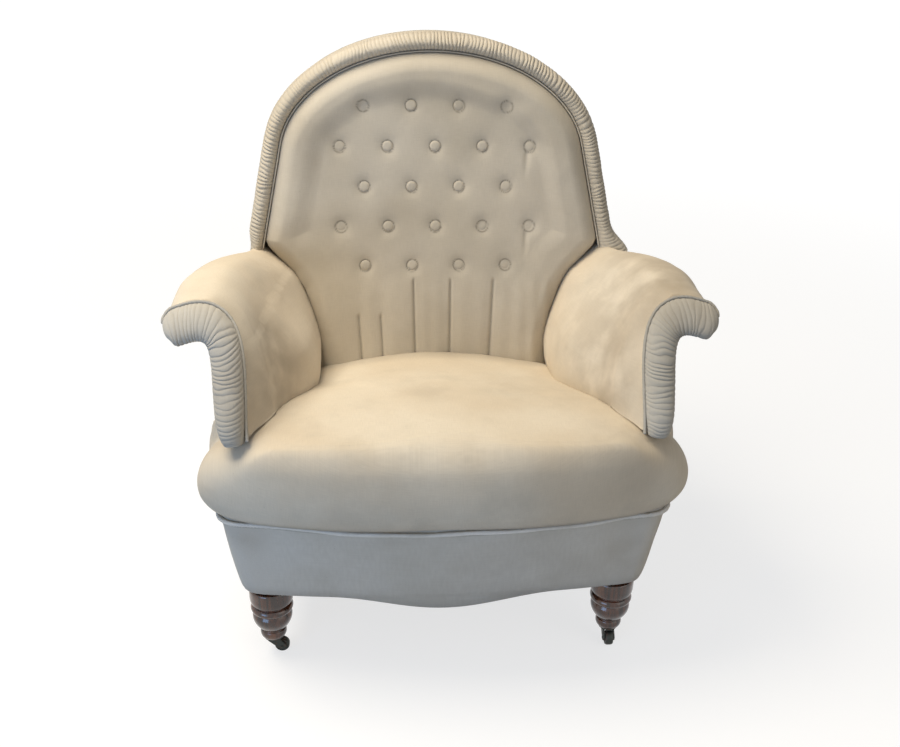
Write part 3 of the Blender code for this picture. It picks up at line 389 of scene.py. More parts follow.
class Graph:
    """A node tree, written as Python expressions."""

    def __init__(self, tree: bpy.types.NodeTree) -> None:
        """Start in a tree.

        Args:
            tree: A material's or world's tree.
        """
        self.tree = tree

    def node(self, kind: str, output: str = "", settings: "dict | None" = None, **values) -> Value:
        """Add a node.

        Args:
            kind: The node's type.
            output: The name of the output wanted, or nothing for the first.
            settings: Its properties, which are set first.
            values: Values or links by socket name, or by number after an underscore.

        Returns:
            The output, or None where the node has none.
        """
        made = self.tree.nodes.new(kind)
        for key, value in (settings or {}).items():
            setattr(made, key, value)
        for key, value in values.items():
            socket = made.inputs[int(key[1:]) if key[0] == "_" else key]
            if isinstance(value, Value):
                self.tree.links.new(value.socket, socket)
            else:
                socket.default_value = value
        return Value(self, made.outputs[output or 0]) if made.outputs else None

    def math(self, operation: str, a: "Value | float", b: "Value | float") -> Value:
        """Add a Math node."""
        return self.node("ShaderNodeMath", "", {"operation": operation}, _0=a, _1=b)

    def seen(self) -> Value:
        """1 for what the camera sees, straight or mirrored, and 0 for what lights.

        Returns:
            The number.
        """
        path = self.tree.nodes.new("ShaderNodeLightPath").outputs
        rays = [Value(self, path[name]) for name in ("Is Camera Ray", "Is Glossy Ray")]
        return self.math("MAXIMUM", *rays)


class Surface(Graph):
    """A material, as its output and Principled shader and what feeds them."""

    def __init__(self, name: str) -> None:
        """Start a material.

        Args:
            name: The material's name.
        """
        self.material = bpy.data.materials.new(name)
        self.material.use_nodes = True
        super().__init__(self.material.node_tree)
        self.shader = self.tree.nodes["Principled BSDF"]
        self.places = self.node("ShaderNodeTexCoord", "Object")

    def stretched(self, scale: tuple, source: "Value | None" = None) -> Value:
        """Scale coordinates by axis, the object's own if none are given."""
        return self.node("ShaderNodeMapping", Vector=source or self.places, Scale=scale)

    def noise(self, scale: float, detail: float = 3.0, source: "Value | None" = None) -> Value:
        """Add a noise pattern from 0 to 1."""
        values = {"Vector": source or self.places, "Scale": scale, "Detail": detail}
        return self.node("ShaderNodeTexNoise", "Fac", **values)

    def mix(self, share: "Value | float", a: "Value | tuple", b: "Value | tuple") -> Value:
        """Mix two colours.

        Args:
            share: 0 for the first colour, 1 for the second.
            a: First colour.
            b: Second colour.

        Returns:
            The mixed colour.
        """
        a, b = ((*c, 1.0) if isinstance(c, tuple) else c for c in (a, b))
        made = self.node("ShaderNodeMix", "", {"data_type": "RGBA"}, _0=share, _6=a, _7=b)
        return Value(self, made.socket.node.outputs[2])

    def near(self, place: tuple, radius: float) -> Value:
        """Ease from 1 at a place to 0 at a distance from it."""
        kind, distance = "ShaderNodeVectorMath", {"operation": "DISTANCE"}
        return 1.0 - self.node(kind, "Value", distance, _0=self.places, _1=place).band(0.0, radius)

    def feed(self, **sockets: "Value | float | tuple") -> None:
        """Set or link the Principled shader's sockets, with underscores for spaces."""
        for key, value in sockets.items():
            socket = self.shader.inputs[key.replace("_", " ")]
            if isinstance(value, Value):
                self.tree.links.new(value.socket, socket)
            else:
                socket.default_value = value

    def bump(self, height: Value, depth: float, strength: float) -> None:
        """Raise the surface by a height pattern.

        Args:
            height: Pattern from 0 to 1.
            depth: Depth in metres that 1 stands for.
            strength: Share of the effect.
        """
        values = {"Height": height, "Distance": depth, "Strength": strength}
        self.feed(Normal=self.node("ShaderNodeBump", "Normal", **values))


@dataclass(frozen=True)
class Calico:
    """Unbleached cotton cover cloth, with stains and patches of painted shade as rows of x, y, z,
    radius and strength.
    """

    name: str
    tone: tuple = (0.655, 0.560, 0.425)
    pale: tuple = (0.735, 0.660, 0.535)
    # Colour of stains and specks, and of the facing's patches of painted shade.
    soiled: tuple = (0.250, 0.195, 0.130)
    greyed: tuple = (0.455, 0.415, 0.335)
    thread: float = 0.0009
    stains: tuple = ()
    wear: float = 0.5

    def material(self) -> bpy.types.Material:
        """Build the cloth.

        Returns:
            The material.
        """
        graph = Surface(self.name)
        cloth = graph.node("ShaderNodeUVMap", "UV", {"uv_map": "weave"})
        clouds = graph.noise(5.0, 4.0).band(0.32, 0.70)
        patches = graph.noise(13.0, 5.0).band(0.50, 0.78)
        colour = graph.mix(clouds, self.tone, self.pale)
        colour = graph.mix(patches * self.wear * 0.55, colour, self.greyed)
        speckle = graph.noise(420.0, 1.0).band(0.70, 0.78)
        speckle = speckle * graph.noise(24.0, 2.0).band(0.45, 0.62)
        colour = graph.mix(speckle * 0.22, colour, self.soiled)
        blotch = graph.noise(15.0, 3.0)
        # Dark patches: real stains, and on the facing painted shade at the scrolls.
        for x, y, z, radius, strength in self.stains:
            mark = graph.near((x, y, z), radius) * blotch.band(0.22, 0.66) * strength
            colour = graph.mix(mark, colour, self.soiled)
        warp = graph.noise(1.0, 2.0, graph.stretched((900.0, 60.0, 1.0), cloth))
        weft = graph.noise(1.0, 2.0, graph.stretched((60.0, 900.0, 1.0), cloth))
        slub = (warp + weft) * 0.5
        colour = graph.mix(slub.band(0.35, 0.65) * 0.10, colour, self.soiled)
        # Painted shade: the per-vertex crease and seam darkening pulls the colour towards near
        # black.
        soil = graph.node("ShaderNodeAttribute", "Fac", {"attribute_name": "soil"})
        colour = graph.mix(soil * 0.85, colour, (0.10, 0.082, 0.062))
        graph.feed(Base_Color=colour, Roughness=0.93, Sheen_Weight=0.12, Sheen_Roughness=0.6)
        graph.feed(Specular_IOR_Level=0.22)
        twist = {"Vector": cloth, "Scale": 0.314 / self.thread, "Distortion": 1.2, "Detail": 1.0}
        threads, picks = (
            graph.node("ShaderNodeTexWave", "Fac", {"bands_direction": axis}, **twist)
            for axis in ("X", "Y")
        )
        weave = (threads + picks) * 0.25
        crumple = graph.noise(38.0, 3.0)
        graph.bump(weave * 0.16 + slub * 0.4 + crumple * 1.1, 0.0010, 0.55)
        return graph.material


@dataclass(frozen=True)
class PolishedWood:
    """Old dark mahogany under worn polish."""

    name: str
    dark: tuple = (0.020, 0.008, 0.005)
    red: tuple = (0.125, 0.038, 0.016)
    worn: tuple = (0.27, 0.100, 0.038)
    gloss: float = 0.18

    def material(self) -> bpy.types.Material:
        """Build the wood.

        Returns:
            The material.
        """
        graph = Surface(self.name)
        grain = graph.noise(1.0, 6.0, graph.stretched((190.0, 190.0, 16.0)))
        broad = graph.noise(1.0, 3.0, graph.stretched((40.0, 40.0, 9.0)))
        colour = graph.mix(grain.band(0.35, 0.68), self.dark, self.red)
        colour = graph.mix(broad.band(0.55, 0.75) * 0.65, colour, self.worn)
        scuffs = graph.noise(120.0, 4.0).band(0.60, 0.72)
        graph.feed(Base_Color=colour, Roughness=self.gloss + scuffs * 0.25, Coat_Weight=0.5)
        graph.feed(Coat_Roughness=0.12)
        graph.bump(grain * 0.5 + scuffs * 0.5, 0.0003, 0.5)
        return graph.material


@dataclass(frozen=True)
class SawnWood:
    """Pale frame wood, sawn and left bare."""

    name: str
    light: tuple = (0.46, 0.31, 0.17)
    dark: tuple = (0.27, 0.165, 0.085)
    grain_scale: tuple = (12.0, 160.0, 160.0)

    def material(self) -> bpy.types.Material:
        """Build the wood.

        Returns:
            The material.
        """
        graph = Surface(self.name)
        grain = graph.noise(1.0, 6.0, graph.stretched(self.grain_scale))
        dust = graph.noise(9.0, 4.0).band(0.45, 0.75)
        colour = graph.mix(grain.band(0.3, 0.7), self.light, self.dark)
        colour = graph.mix(dust * 0.4, colour, (0.30, 0.25, 0.19))
        graph.feed(Base_Color=colour, Roughness=0.78 + grain * 0.12)
        graph.bump(grain, 0.0006, 0.6)
        return graph.material


@dataclass(frozen=True)
class Metal:
    """Iron or spring wire gone dull, with rust where it is rubbed."""

    name: str
    tone: tuple = (0.045, 0.050, 0.044)
    rust: tuple = (0.16, 0.065, 0.030)
    rust_share: float = 0.35
    roughness: float = 0.5
    metallic: float = 0.75

    def material(self) -> bpy.types.Material:
        """Build the metal.

        Returns:
            The material.
        """
        graph = Surface(self.name)
        patches = graph.noise(160.0, 5.0)
        rust = patches.band(0.52, 0.68) * self.rust_share
        colour = graph.mix(rust, self.tone, self.rust)
        graph.feed(Base_Color=colour, Metallic=self.metallic - rust * self.metallic)
        graph.feed(Roughness=self.roughness + rust * 0.4)
        graph.bump(patches * 0.6 + graph.noise(700.0, 2.0) * 0.4, 0.0004, 0.6)
        return graph.material


@dataclass(frozen=True)
class Jute:
    """Coarse webbing under the springs."""

    name: str

    def material(self) -> bpy.types.Material:
        """Build the webbing.

        Returns:
            The material.
        """
        graph = Surface(self.name)
        along = graph.noise(1.0, 3.0, graph.stretched((30.0, 900.0, 30.0)))
        across = graph.noise(1.0, 3.0, graph.stretched((900.0, 30.0, 30.0)))
        weave = (along + across) * 0.5
        colour = graph.mix(weave.band(0.35, 0.65), (0.36, 0.26, 0.14), (0.20, 0.14, 0.075))
        graph.feed(Base_Color=colour, Roughness=0.95)
        graph.bump(weave, 0.0012, 0.8)
        return graph.material


@dataclass(frozen=True)
class BackForm:
    """The back's lean and arch, which its pad, border and outside panel share."""

    level: float = 0.764
    face_y: float = 0.225 + PLAN_SHIFT
    face_lean: float = 0.254
    frame_y: float = 0.295 + PLAN_SHIFT
    frame_lean: float = 0.19
    arch_base: float = 0.680
    arch_half: float = 0.2535
    arch_rise: float = 0.165
    splay: float = 0.2037
    lows: tuple = (0.285, 0.330, 0.360, 0.390, 0.430, 0.466, 0.495, 0.520, 0.540)
    widths: tuple = (0.2005, 0.1990, 0.1945, 0.1955, 0.2055, 0.2185, 0.2365, 0.2620, 0.2805)

    def face(self, z: np.ndarray) -> np.ndarray:
        """The pad's plain face at height z."""
        return self.face_y + self.face_lean * (z - self.level)

    def frame(self, z: np.ndarray) -> np.ndarray:
        """The frame's front plane at height z."""
        return self.frame_y + self.frame_lean * (z - self.level)

    @property
    def shoulder(self) -> tuple:
        """The angle and height at which the arch meets the straight side seams."""
        join = math.atan(self.splay * self.arch_rise / self.arch_half)
        return join, self.arch_base + self.arch_rise * math.sin(join)

    def seam(self, z: np.ndarray) -> np.ndarray:
        """Half the width between the straight side seams at height z."""
        join, top = self.shoulder
        return self.arch_half * math.cos(join) + (top - z) * self.splay

    def path(self, end_z: float, count: int) -> np.ndarray:
        """Follow the seam over the top.

        Args:
            end_z: Height of both ends.
            count: Number of places.

        Returns:
            Rows of x, z and the outward direction's x and z, left to right.
        """
        join, top = self.shoulder
        low = np.linspace(end_z, top, 200, endpoint=False)
        turn = np.linspace(join, math.pi / 2, 400)
        xs = np.concatenate([self.seam(low), self.arch_half * np.cos(turn)])
        zs = np.concatenate([low, self.arch_base + self.arch_rise * np.sin(turn)])
        xs = np.concatenate([-xs, xs[-2::-1]])
        zs = np.concatenate([zs, zs[-2::-1]])
        line = np.stack([xs, zs], 1)
        xs, zs = evenly(line, lengths(line), count).T
        dx, dz = np.gradient(xs), np.gradient(zs)
        size = np.hypot(dx, dz)
        return np.stack([xs, zs, -dz / size, dx / size], 1)

    def half_width(self, z: np.ndarray) -> np.ndarray:
        """Half the pad's width where the arms stand against it."""
        return np.interp(z, self.lows, self.widths)


@dataclass
class Back:
    """The back: buttoned pad, gathered border, covered buttons and outside panel."""

    form: BackForm = field(default_factory=BackForm)
    outside_cut: tuple = (0.62, 0.74, 0.401)
    rows: tuple = (4, 5, 4, 5, 4)
    spacing: float = 0.079
    row_step: float = 0.0636
    top_row: float = 0.7625
    button_radius: float = 0.0088
    button_shift: float = 0.004
    border_width: float = 0.028
    pleat_pitch: float = 0.0060
    pleat_depth: float = 0.0019
    tucks: tuple = (-0.133, -0.094, -0.034, 0.030, 0.104)
    drift: Drift = field(default_factory=lambda: Drift(11))

    def buttons(self) -> list:
        """Each button's x and z, row by row from the top.

        Returns:
            The pairs.
        """
        spots = []
        for row, count in enumerate(self.rows):
            z = self.top_row - row * self.row_step
            middle = (count - 1) / 2
            spots += [((k - middle) * self.spacing + self.button_shift, z) for k in range(count)]
        return spots

    def relief(self, x: np.ndarray, z: np.ndarray, inside: np.ndarray) -> tuple:
        """Height of the stuffed face over its plain plane.

        Args:
            x: Places across.
            z: Heights.
            inside: Distances from the seam.

        Returns:
            The heights and the painted shade in the creases.
        """
        right = ease((x + 0.05) / 0.20)
        start = 0.036 + 0.012 * right
        width = 0.040 - 0.008 * right
        rise = np.sin(unit(inside / 0.030) * math.pi / 2) ** 0.8
        fall = ease((inside - start) / width)
        upper = ease((z - 0.50) / 0.10)
        roll = 0.0085 * (1.0 - fall) * (0.25 + 0.75 * upper)
        height = -0.014 * (1.0 - rise) + rise * (0.0025 + roll)
        # Painted shade: a dark line along the seam.
        soil = bell(inside, 0.0022) * 0.6
        for bx, bz in self.buttons():
            gap = np.hypot(x - bx, z - bz)
            height -= 0.0040 * bell(gap, 0.0125) + 0.0016 * bell(gap, 0.026)
            # Painted shade: a dark ring round each button, where the cloth is drawn in.
            soil += 0.75 * bell(gap - self.button_radius - 0.0008, 0.0011)
        for bx, bz in self.buttons()[8:9] + self.buttons()[17:18]:
            fold = bell(x - bx + 0.003 + 0.08 * (bz - z), 0.0045) * ease((bz - 0.004 - z) / 0.01)
            height -= 0.0030 * fold * ease((z - bz + 0.060) / 0.05)
        last = self.top_row - 4 * self.row_step
        low = ease((last - 0.012 - z) / 0.02)
        flutes = np.full(len(x), 9.0)
        for tuck in self.tucks:
            drawn = tuck * (1.0 + 0.06 * (z - last) / 0.12)
            gap = np.abs(x - drawn)
            reach = ease((last - (0.075 if tuck < -0.09 else 0.018) - z) / 0.012)
            height -= 0.0030 * reach * bell(gap, 0.0026)
            # Painted shade along each tuck.
            soil += 0.55 * reach * bell(gap, 0.0013)
            flutes = np.minimum(flutes, gap)
        height += 0.0022 * ease((last - 0.005 - z) / 0.07) * ease(flutes / 0.02)
        fine = np.sin(x / 0.0042 + 2.0 * np.sin(x / 0.031)) * (0.4 + 0.6 * ease((x - 0.11) / 0.04))
        height += 0.00042 * low * fine
        flat = np.stack([x, z, np.zeros_like(x)], 1)
        height += 0.0016 * self.drift.at(flat, 0.085) * ease(inside / 0.03)
        height += 0.0005 * self.drift.at(flat + 5.0, 0.026)
        return height, soil

    def pad(self) -> bpy.types.Object:
        """Build the stuffed pad.

        Returns:
            The pad.
        """
        form = self.form
        arch = form.path(0.548, 260)[:, :2]
        lows = np.array([0.285, 0.31, 0.33, 0.36, 0.39, 0.43, 0.466, 0.495, 0.52, 0.536])
        right = np.stack([form.half_width(lows), lows], 1)
        left = right * (-1, 1)
        foot = np.stack([np.linspace(-0.2, 0.2, 12)[1:-1], np.full(10, 0.285)], 1)
        loop = np.vstack([foot, right, arch[::-1], left[::-1]])
        loop = np.vstack([loop, loop[:1]])
        seam = np.vstack([right, arch[::-1], left[::-1]])
        seam[0, 1] -= 0.2
        seam[-1, 1] -= 0.2
        steps = lengths(loop)
        middle = np.array([0.0, 0.57])

        def place(u: np.ndarray, v: np.ndarray) -> tuple:
            """Carry the sheet from the middle out to the seam and round to the back."""
            edge = read(loop, steps, u * steps[-1])
            share = unit(v / 0.95)
            share = np.where(v > 0.985, 1.0 - (v - 0.985) / 0.015, share)
            flat = middle + (edge - middle) * share[:, None]
            inside = distance_to(flat, seam)
            height, soil = self.relief(flat[:, 0], flat[:, 1], inside)
            back = unit((v - 0.95) / 0.03)
            front = form.face(flat[:, 1]) - height
            y = front + (form.frame(flat[:, 1]) - 0.0004 - front) * back
            return np.stack([flat[:, 0], y, flat[:, 1]], 1), unit(soil)

        shape = Shape("back_stuffed_pad").sheet(760, 112, place)
        return shape.woven(lambda co: (co.x, co.z)).closed(2e-5).object()

    def border(self) -> bpy.types.Object:
        """Build the border, gathered finely along the arch.

        Returns:
            The border.
        """
        form = self.form
        line = form.path(0.516, 1700)
        length = float(lengths(line[:, :2])[-1])
        drift = Drift(23)
        section = self.border_section()
        last = len(section) - 1

        def place(u: np.ndarray, v: np.ndarray) -> tuple:
            """Carry the sheet along the arch and round the border's section."""
            x, z, nx, nz = read(line, np.arange(len(line)), u * (len(line) - 1)).T
            depth = form.frame(z) - form.face(z)
            outward, fixed, share = section[nearest(v, last)].T
            forward = fixed + share * depth
            front = ease(share * 2.0 - 0.6)
            crown = front * np.sin(unit(outward / self.border_width) * math.pi) ** 0.35
            s = u * length
            flat = np.stack([s, outward, share * 0.02], 1)
            jitter = drift.at(flat, 0.024) * 0.40 + drift.at(flat + 7.0, 0.010) * 0.14
            phase = s / self.pleat_pitch + jitter * 2.0
            pleat = np.abs(np.sin(math.pi * phase)) ** 0.7
            vary = np.clip(0.85 + 0.45 * drift.at(flat * (1.0, 0.0, 0.0) + 3.0, 0.030), 0.5, 1.25)
            broad = 0.0011 * drift.at(flat + 11.0, 0.045) + 0.0005 * drift.at(flat + 1.0, 0.012)
            lift = ((pleat - 0.6) * self.pleat_depth * vary + broad) * front
            outward = outward + lift * 0.5 * ease(outward / 0.012)
            forward = forward + lift
            outer = ease((outward - 0.004) / 0.018)
            flare = ease((0.572 - z) / 0.060) ** 1.5 * 0.022 * (x > 0) * outer
            tuck = ease((0.560 - z) / 0.040) * 0.008 * (x < 0) * outer
            outward = outward + (flare - tuck) * (0.4 + 0.6 * front)
            height = z + outward * nz
            y = form.frame(height) - forward
            # Painted shade: darker in the pleats' valleys, along the seam and at the rim.
            valley = (1.0 - pleat) ** 2.5 * vary * crown
            seam = bell(outward, 0.0024) * front
            rim = bell(outward - self.border_width, 0.0018) * front * 0.25
            soil = unit(valley * 0.60 + seam * 0.45 + rim)
            return np.stack([x + outward * nx, y, height], 1), soil

        shape = Shape("back_gathered_border").sheet(2400, last, place, (length, 0.11))
        return shape.closed().object()

    def border_section(self) -> np.ndarray:
        """The border's section as rows of outward, fixed forward and share of its depth.

        Returns:
            The rows, starting at the back.
        """
        width = self.border_width
        front = [(0.0, -0.0140, 1.0), (0.20 * width, -0.0025, 1.0), (0.5 * width, 0.0022, 1.0)]
        front += [(0.80 * width, -0.0040, 1.0), (width, -0.0190, 1.0), (width - 0.001, 0.0, 0.5)]
        front += [(0.0221, 0.0, 0.0)]
        crowned = curve_through(np.array(front) * (1.0, 1.0, 0.055), 34) / (1.0, 1.0, 0.055)
        back = [(0.0201, -0.0346, 0.0), (0.0166, -0.0346, 0.0), (0.0166, 0.0003, 0.0)]
        start = [(0.0166, 0.0003, 0.0), (0.0, 0.0005, 0.0), (0.0, -0.008, 0.5)]
        return np.vstack([start, crowned, back])

    def seam_cord(self) -> bpy.types.Object:
        """Build the flat piping in the seam between the pad and the border.

        Returns:
            The cord.
        """
        form = self.form
        line = form.path(0.534, 500)
        cords = np.stack([line[:, 0], form.face(line[:, 1]) + 0.0075, line[:, 1]], 1)
        return Cord("back_seam_piping", cords, 0.0013, 0.1).build()

    def covered_button(self, number: int, x: float, z: float) -> bpy.types.Object:
        """Build one covered button, domed, with its cloth drawn in behind.

        Args:
            number: The button's number in the frame.
            x: Its place across.
            z: Its height.

        Returns:
            The button.
        """
        radius = self.button_radius
        profile = [(0.0, 0.0026), (0.35 * radius, 0.0026), (0.62 * radius, 0.0024)]
        profile += [(0.84 * radius, 0.0019), (0.96 * radius, 0.0011), (radius, 0.0002)]
        profile += [(0.97 * radius, -0.0008), (0.86 * radius, -0.0018), (0.0, -0.0018)]
        lean = math.atan(self.form.face_lean)
        tip = 0.04 * math.sin(number * 2.4)
        turn = Matrix.Rotation(math.pi / 2 - lean + tip, 4, "X")
        turn = Matrix.Rotation(0.05 * math.cos(number * 1.7), 4, "Z") @ turn
        y = self.form.face(z) + 0.0030
        shape = Shape(f"button_cover_{number}").turned(profile, 32)
        # Painted shade on the button's underside and rim.
        for vert in shape.work.verts:
            vert[shape.soil] = 0.8 if vert.co.z < 0.0001 else 0.0
        shape.woven(lambda co: (co.x, co.y))
        return shape.moved(Matrix.Translation((x, y, z)) @ turn).closed().object()

    def outside(self) -> bpy.types.Object:
        """Build the outside panel, drawn tight inside the border's lip.

        Returns:
            The panel.
        """
        form = self.form
        arch = form.path(0.580, 220)
        arch = arch[:, :2] + arch[:, 2:] * 0.0155
        side = [(0.2785, 0.142), (0.280, 0.21), (0.286, 0.28), (0.293, 0.36), (0.297, 0.44)]
        side = np.array(side + [(0.298, 0.50), (0.294, 0.545)])
        loop = np.vstack([side, arch[::-1], (side * (-1, 1))[::-1]])
        hem = np.stack([np.linspace(-0.2785, 0.2785, 24)[1:-1], np.full(22, 0.142)], 1)
        loop = np.vstack([loop, hem, loop[:1]])
        steps = lengths(loop)
        middle = np.array([0.0, 0.50])

        def place(u: np.ndarray, v: np.ndarray) -> tuple:
            """Carry the sheet from the middle to the rim and back inside."""
            edge = read(loop, steps, u * steps[-1])
            share = np.where(v < 0.93, v / 0.93, 1.0)
            share = np.where(v > 0.97, 1.0 - (v - 0.97) / 0.03, share)
            flat = middle + (edge - middle) * share[:, None]
            inside = distance_to(flat, loop)
            spread = np.stack([flat[:, 0], flat[:, 1], np.zeros(len(u))], 1)
            puff = 0.0045 + 0.0028 * ease(inside / 0.06) + 0.0012 * self.drift.at(spread, 0.11)
            puff -= 0.0016 * bell(inside, 0.006)
            inner = unit((v - 0.93) / 0.02)
            y = form.frame(flat[:, 1]) + 0.0304 + puff * (1.0 - inner) - 0.004 * inner
            # Painted shade along the rim; also darker towards the bottom.
            soil = 0.35 * bell(inside, 0.004) + 0.25 * ease((0.22 - flat[:, 1]) / 0.08)
            return np.stack([flat[:, 0], y, flat[:, 1]], 1), soil

        shape = Shape("outside_back_cover").sheet(420, 46, place)
        return shape.woven(lambda co: (co.x, co.z)).closed(2e-5).object()

    def build(self, cloth: bpy.types.Material, grey: bpy.types.Material) -> None:
        """Make and dress the back.

        Args:
            cloth: Cloth of the pad and border.
            grey: Cloth of the outside panel.
        """
        dress(self.pad(), cloth, "back_pad", padded=0.8)
        dress(self.border(), cloth, "back_border", padded=0.9)
        dress(self.seam_cord(), cloth, slot="back_border")
        for number, (x, z) in enumerate(self.buttons(), 1):
            dress(self.covered_button(number, x, z), cloth, f"back_button_{number}")
        cut = (*self.outside_cut, "back_seat_rail")
        dress(self.outside(), grey, "outside_back", cut=cut)


@dataclass
class Cord:
    """A covered cord sewn along a seam."""

    name: str
    line: np.ndarray
    radius: float
    # Strength of the painted shade on the cord's flanks.
    soil: float = 0.25

    def build(self) -> bpy.types.Object:
        """Sweep a round section along the line.

        Returns:
            The cord.
        """
        line = self.line
        along = np.gradient(line, axis=0)
        along /= np.linalg.norm(along, axis=1)[:, None]
        side = np.cross(along, (0.0, -1.0, 0.35))
        side /= np.linalg.norm(side, axis=1)[:, None]
        rise = np.cross(side, along)
        count = len(line)

        def place(u: np.ndarray, v: np.ndarray) -> tuple:
            """Carry the sheet round the line."""
            index = nearest(u, count - 1)
            turn = v * 2 * math.pi
            ends = np.where((index == 0) | (index == count - 1), 0.15, 1.0)
            twist = 1.0 + 0.06 * np.sin(index * 1.3) + 0.05 * np.sin(index * 0.37)
            reach = self.radius * ends * twist
            co = line[index] + (np.cos(turn) * reach)[:, None] * side[index]
            co = co + (np.sin(turn) * reach)[:, None] * rise[index]
            # Painted shade: darker along the cord's two flanks.
            return co, self.soil * (0.5 + 0.5 * np.cos(2 * turn))

        shape = Shape(self.name).sheet(count - 1, 10, place, (0.5, 0.01))
        return shape.closed(1e-6).object()


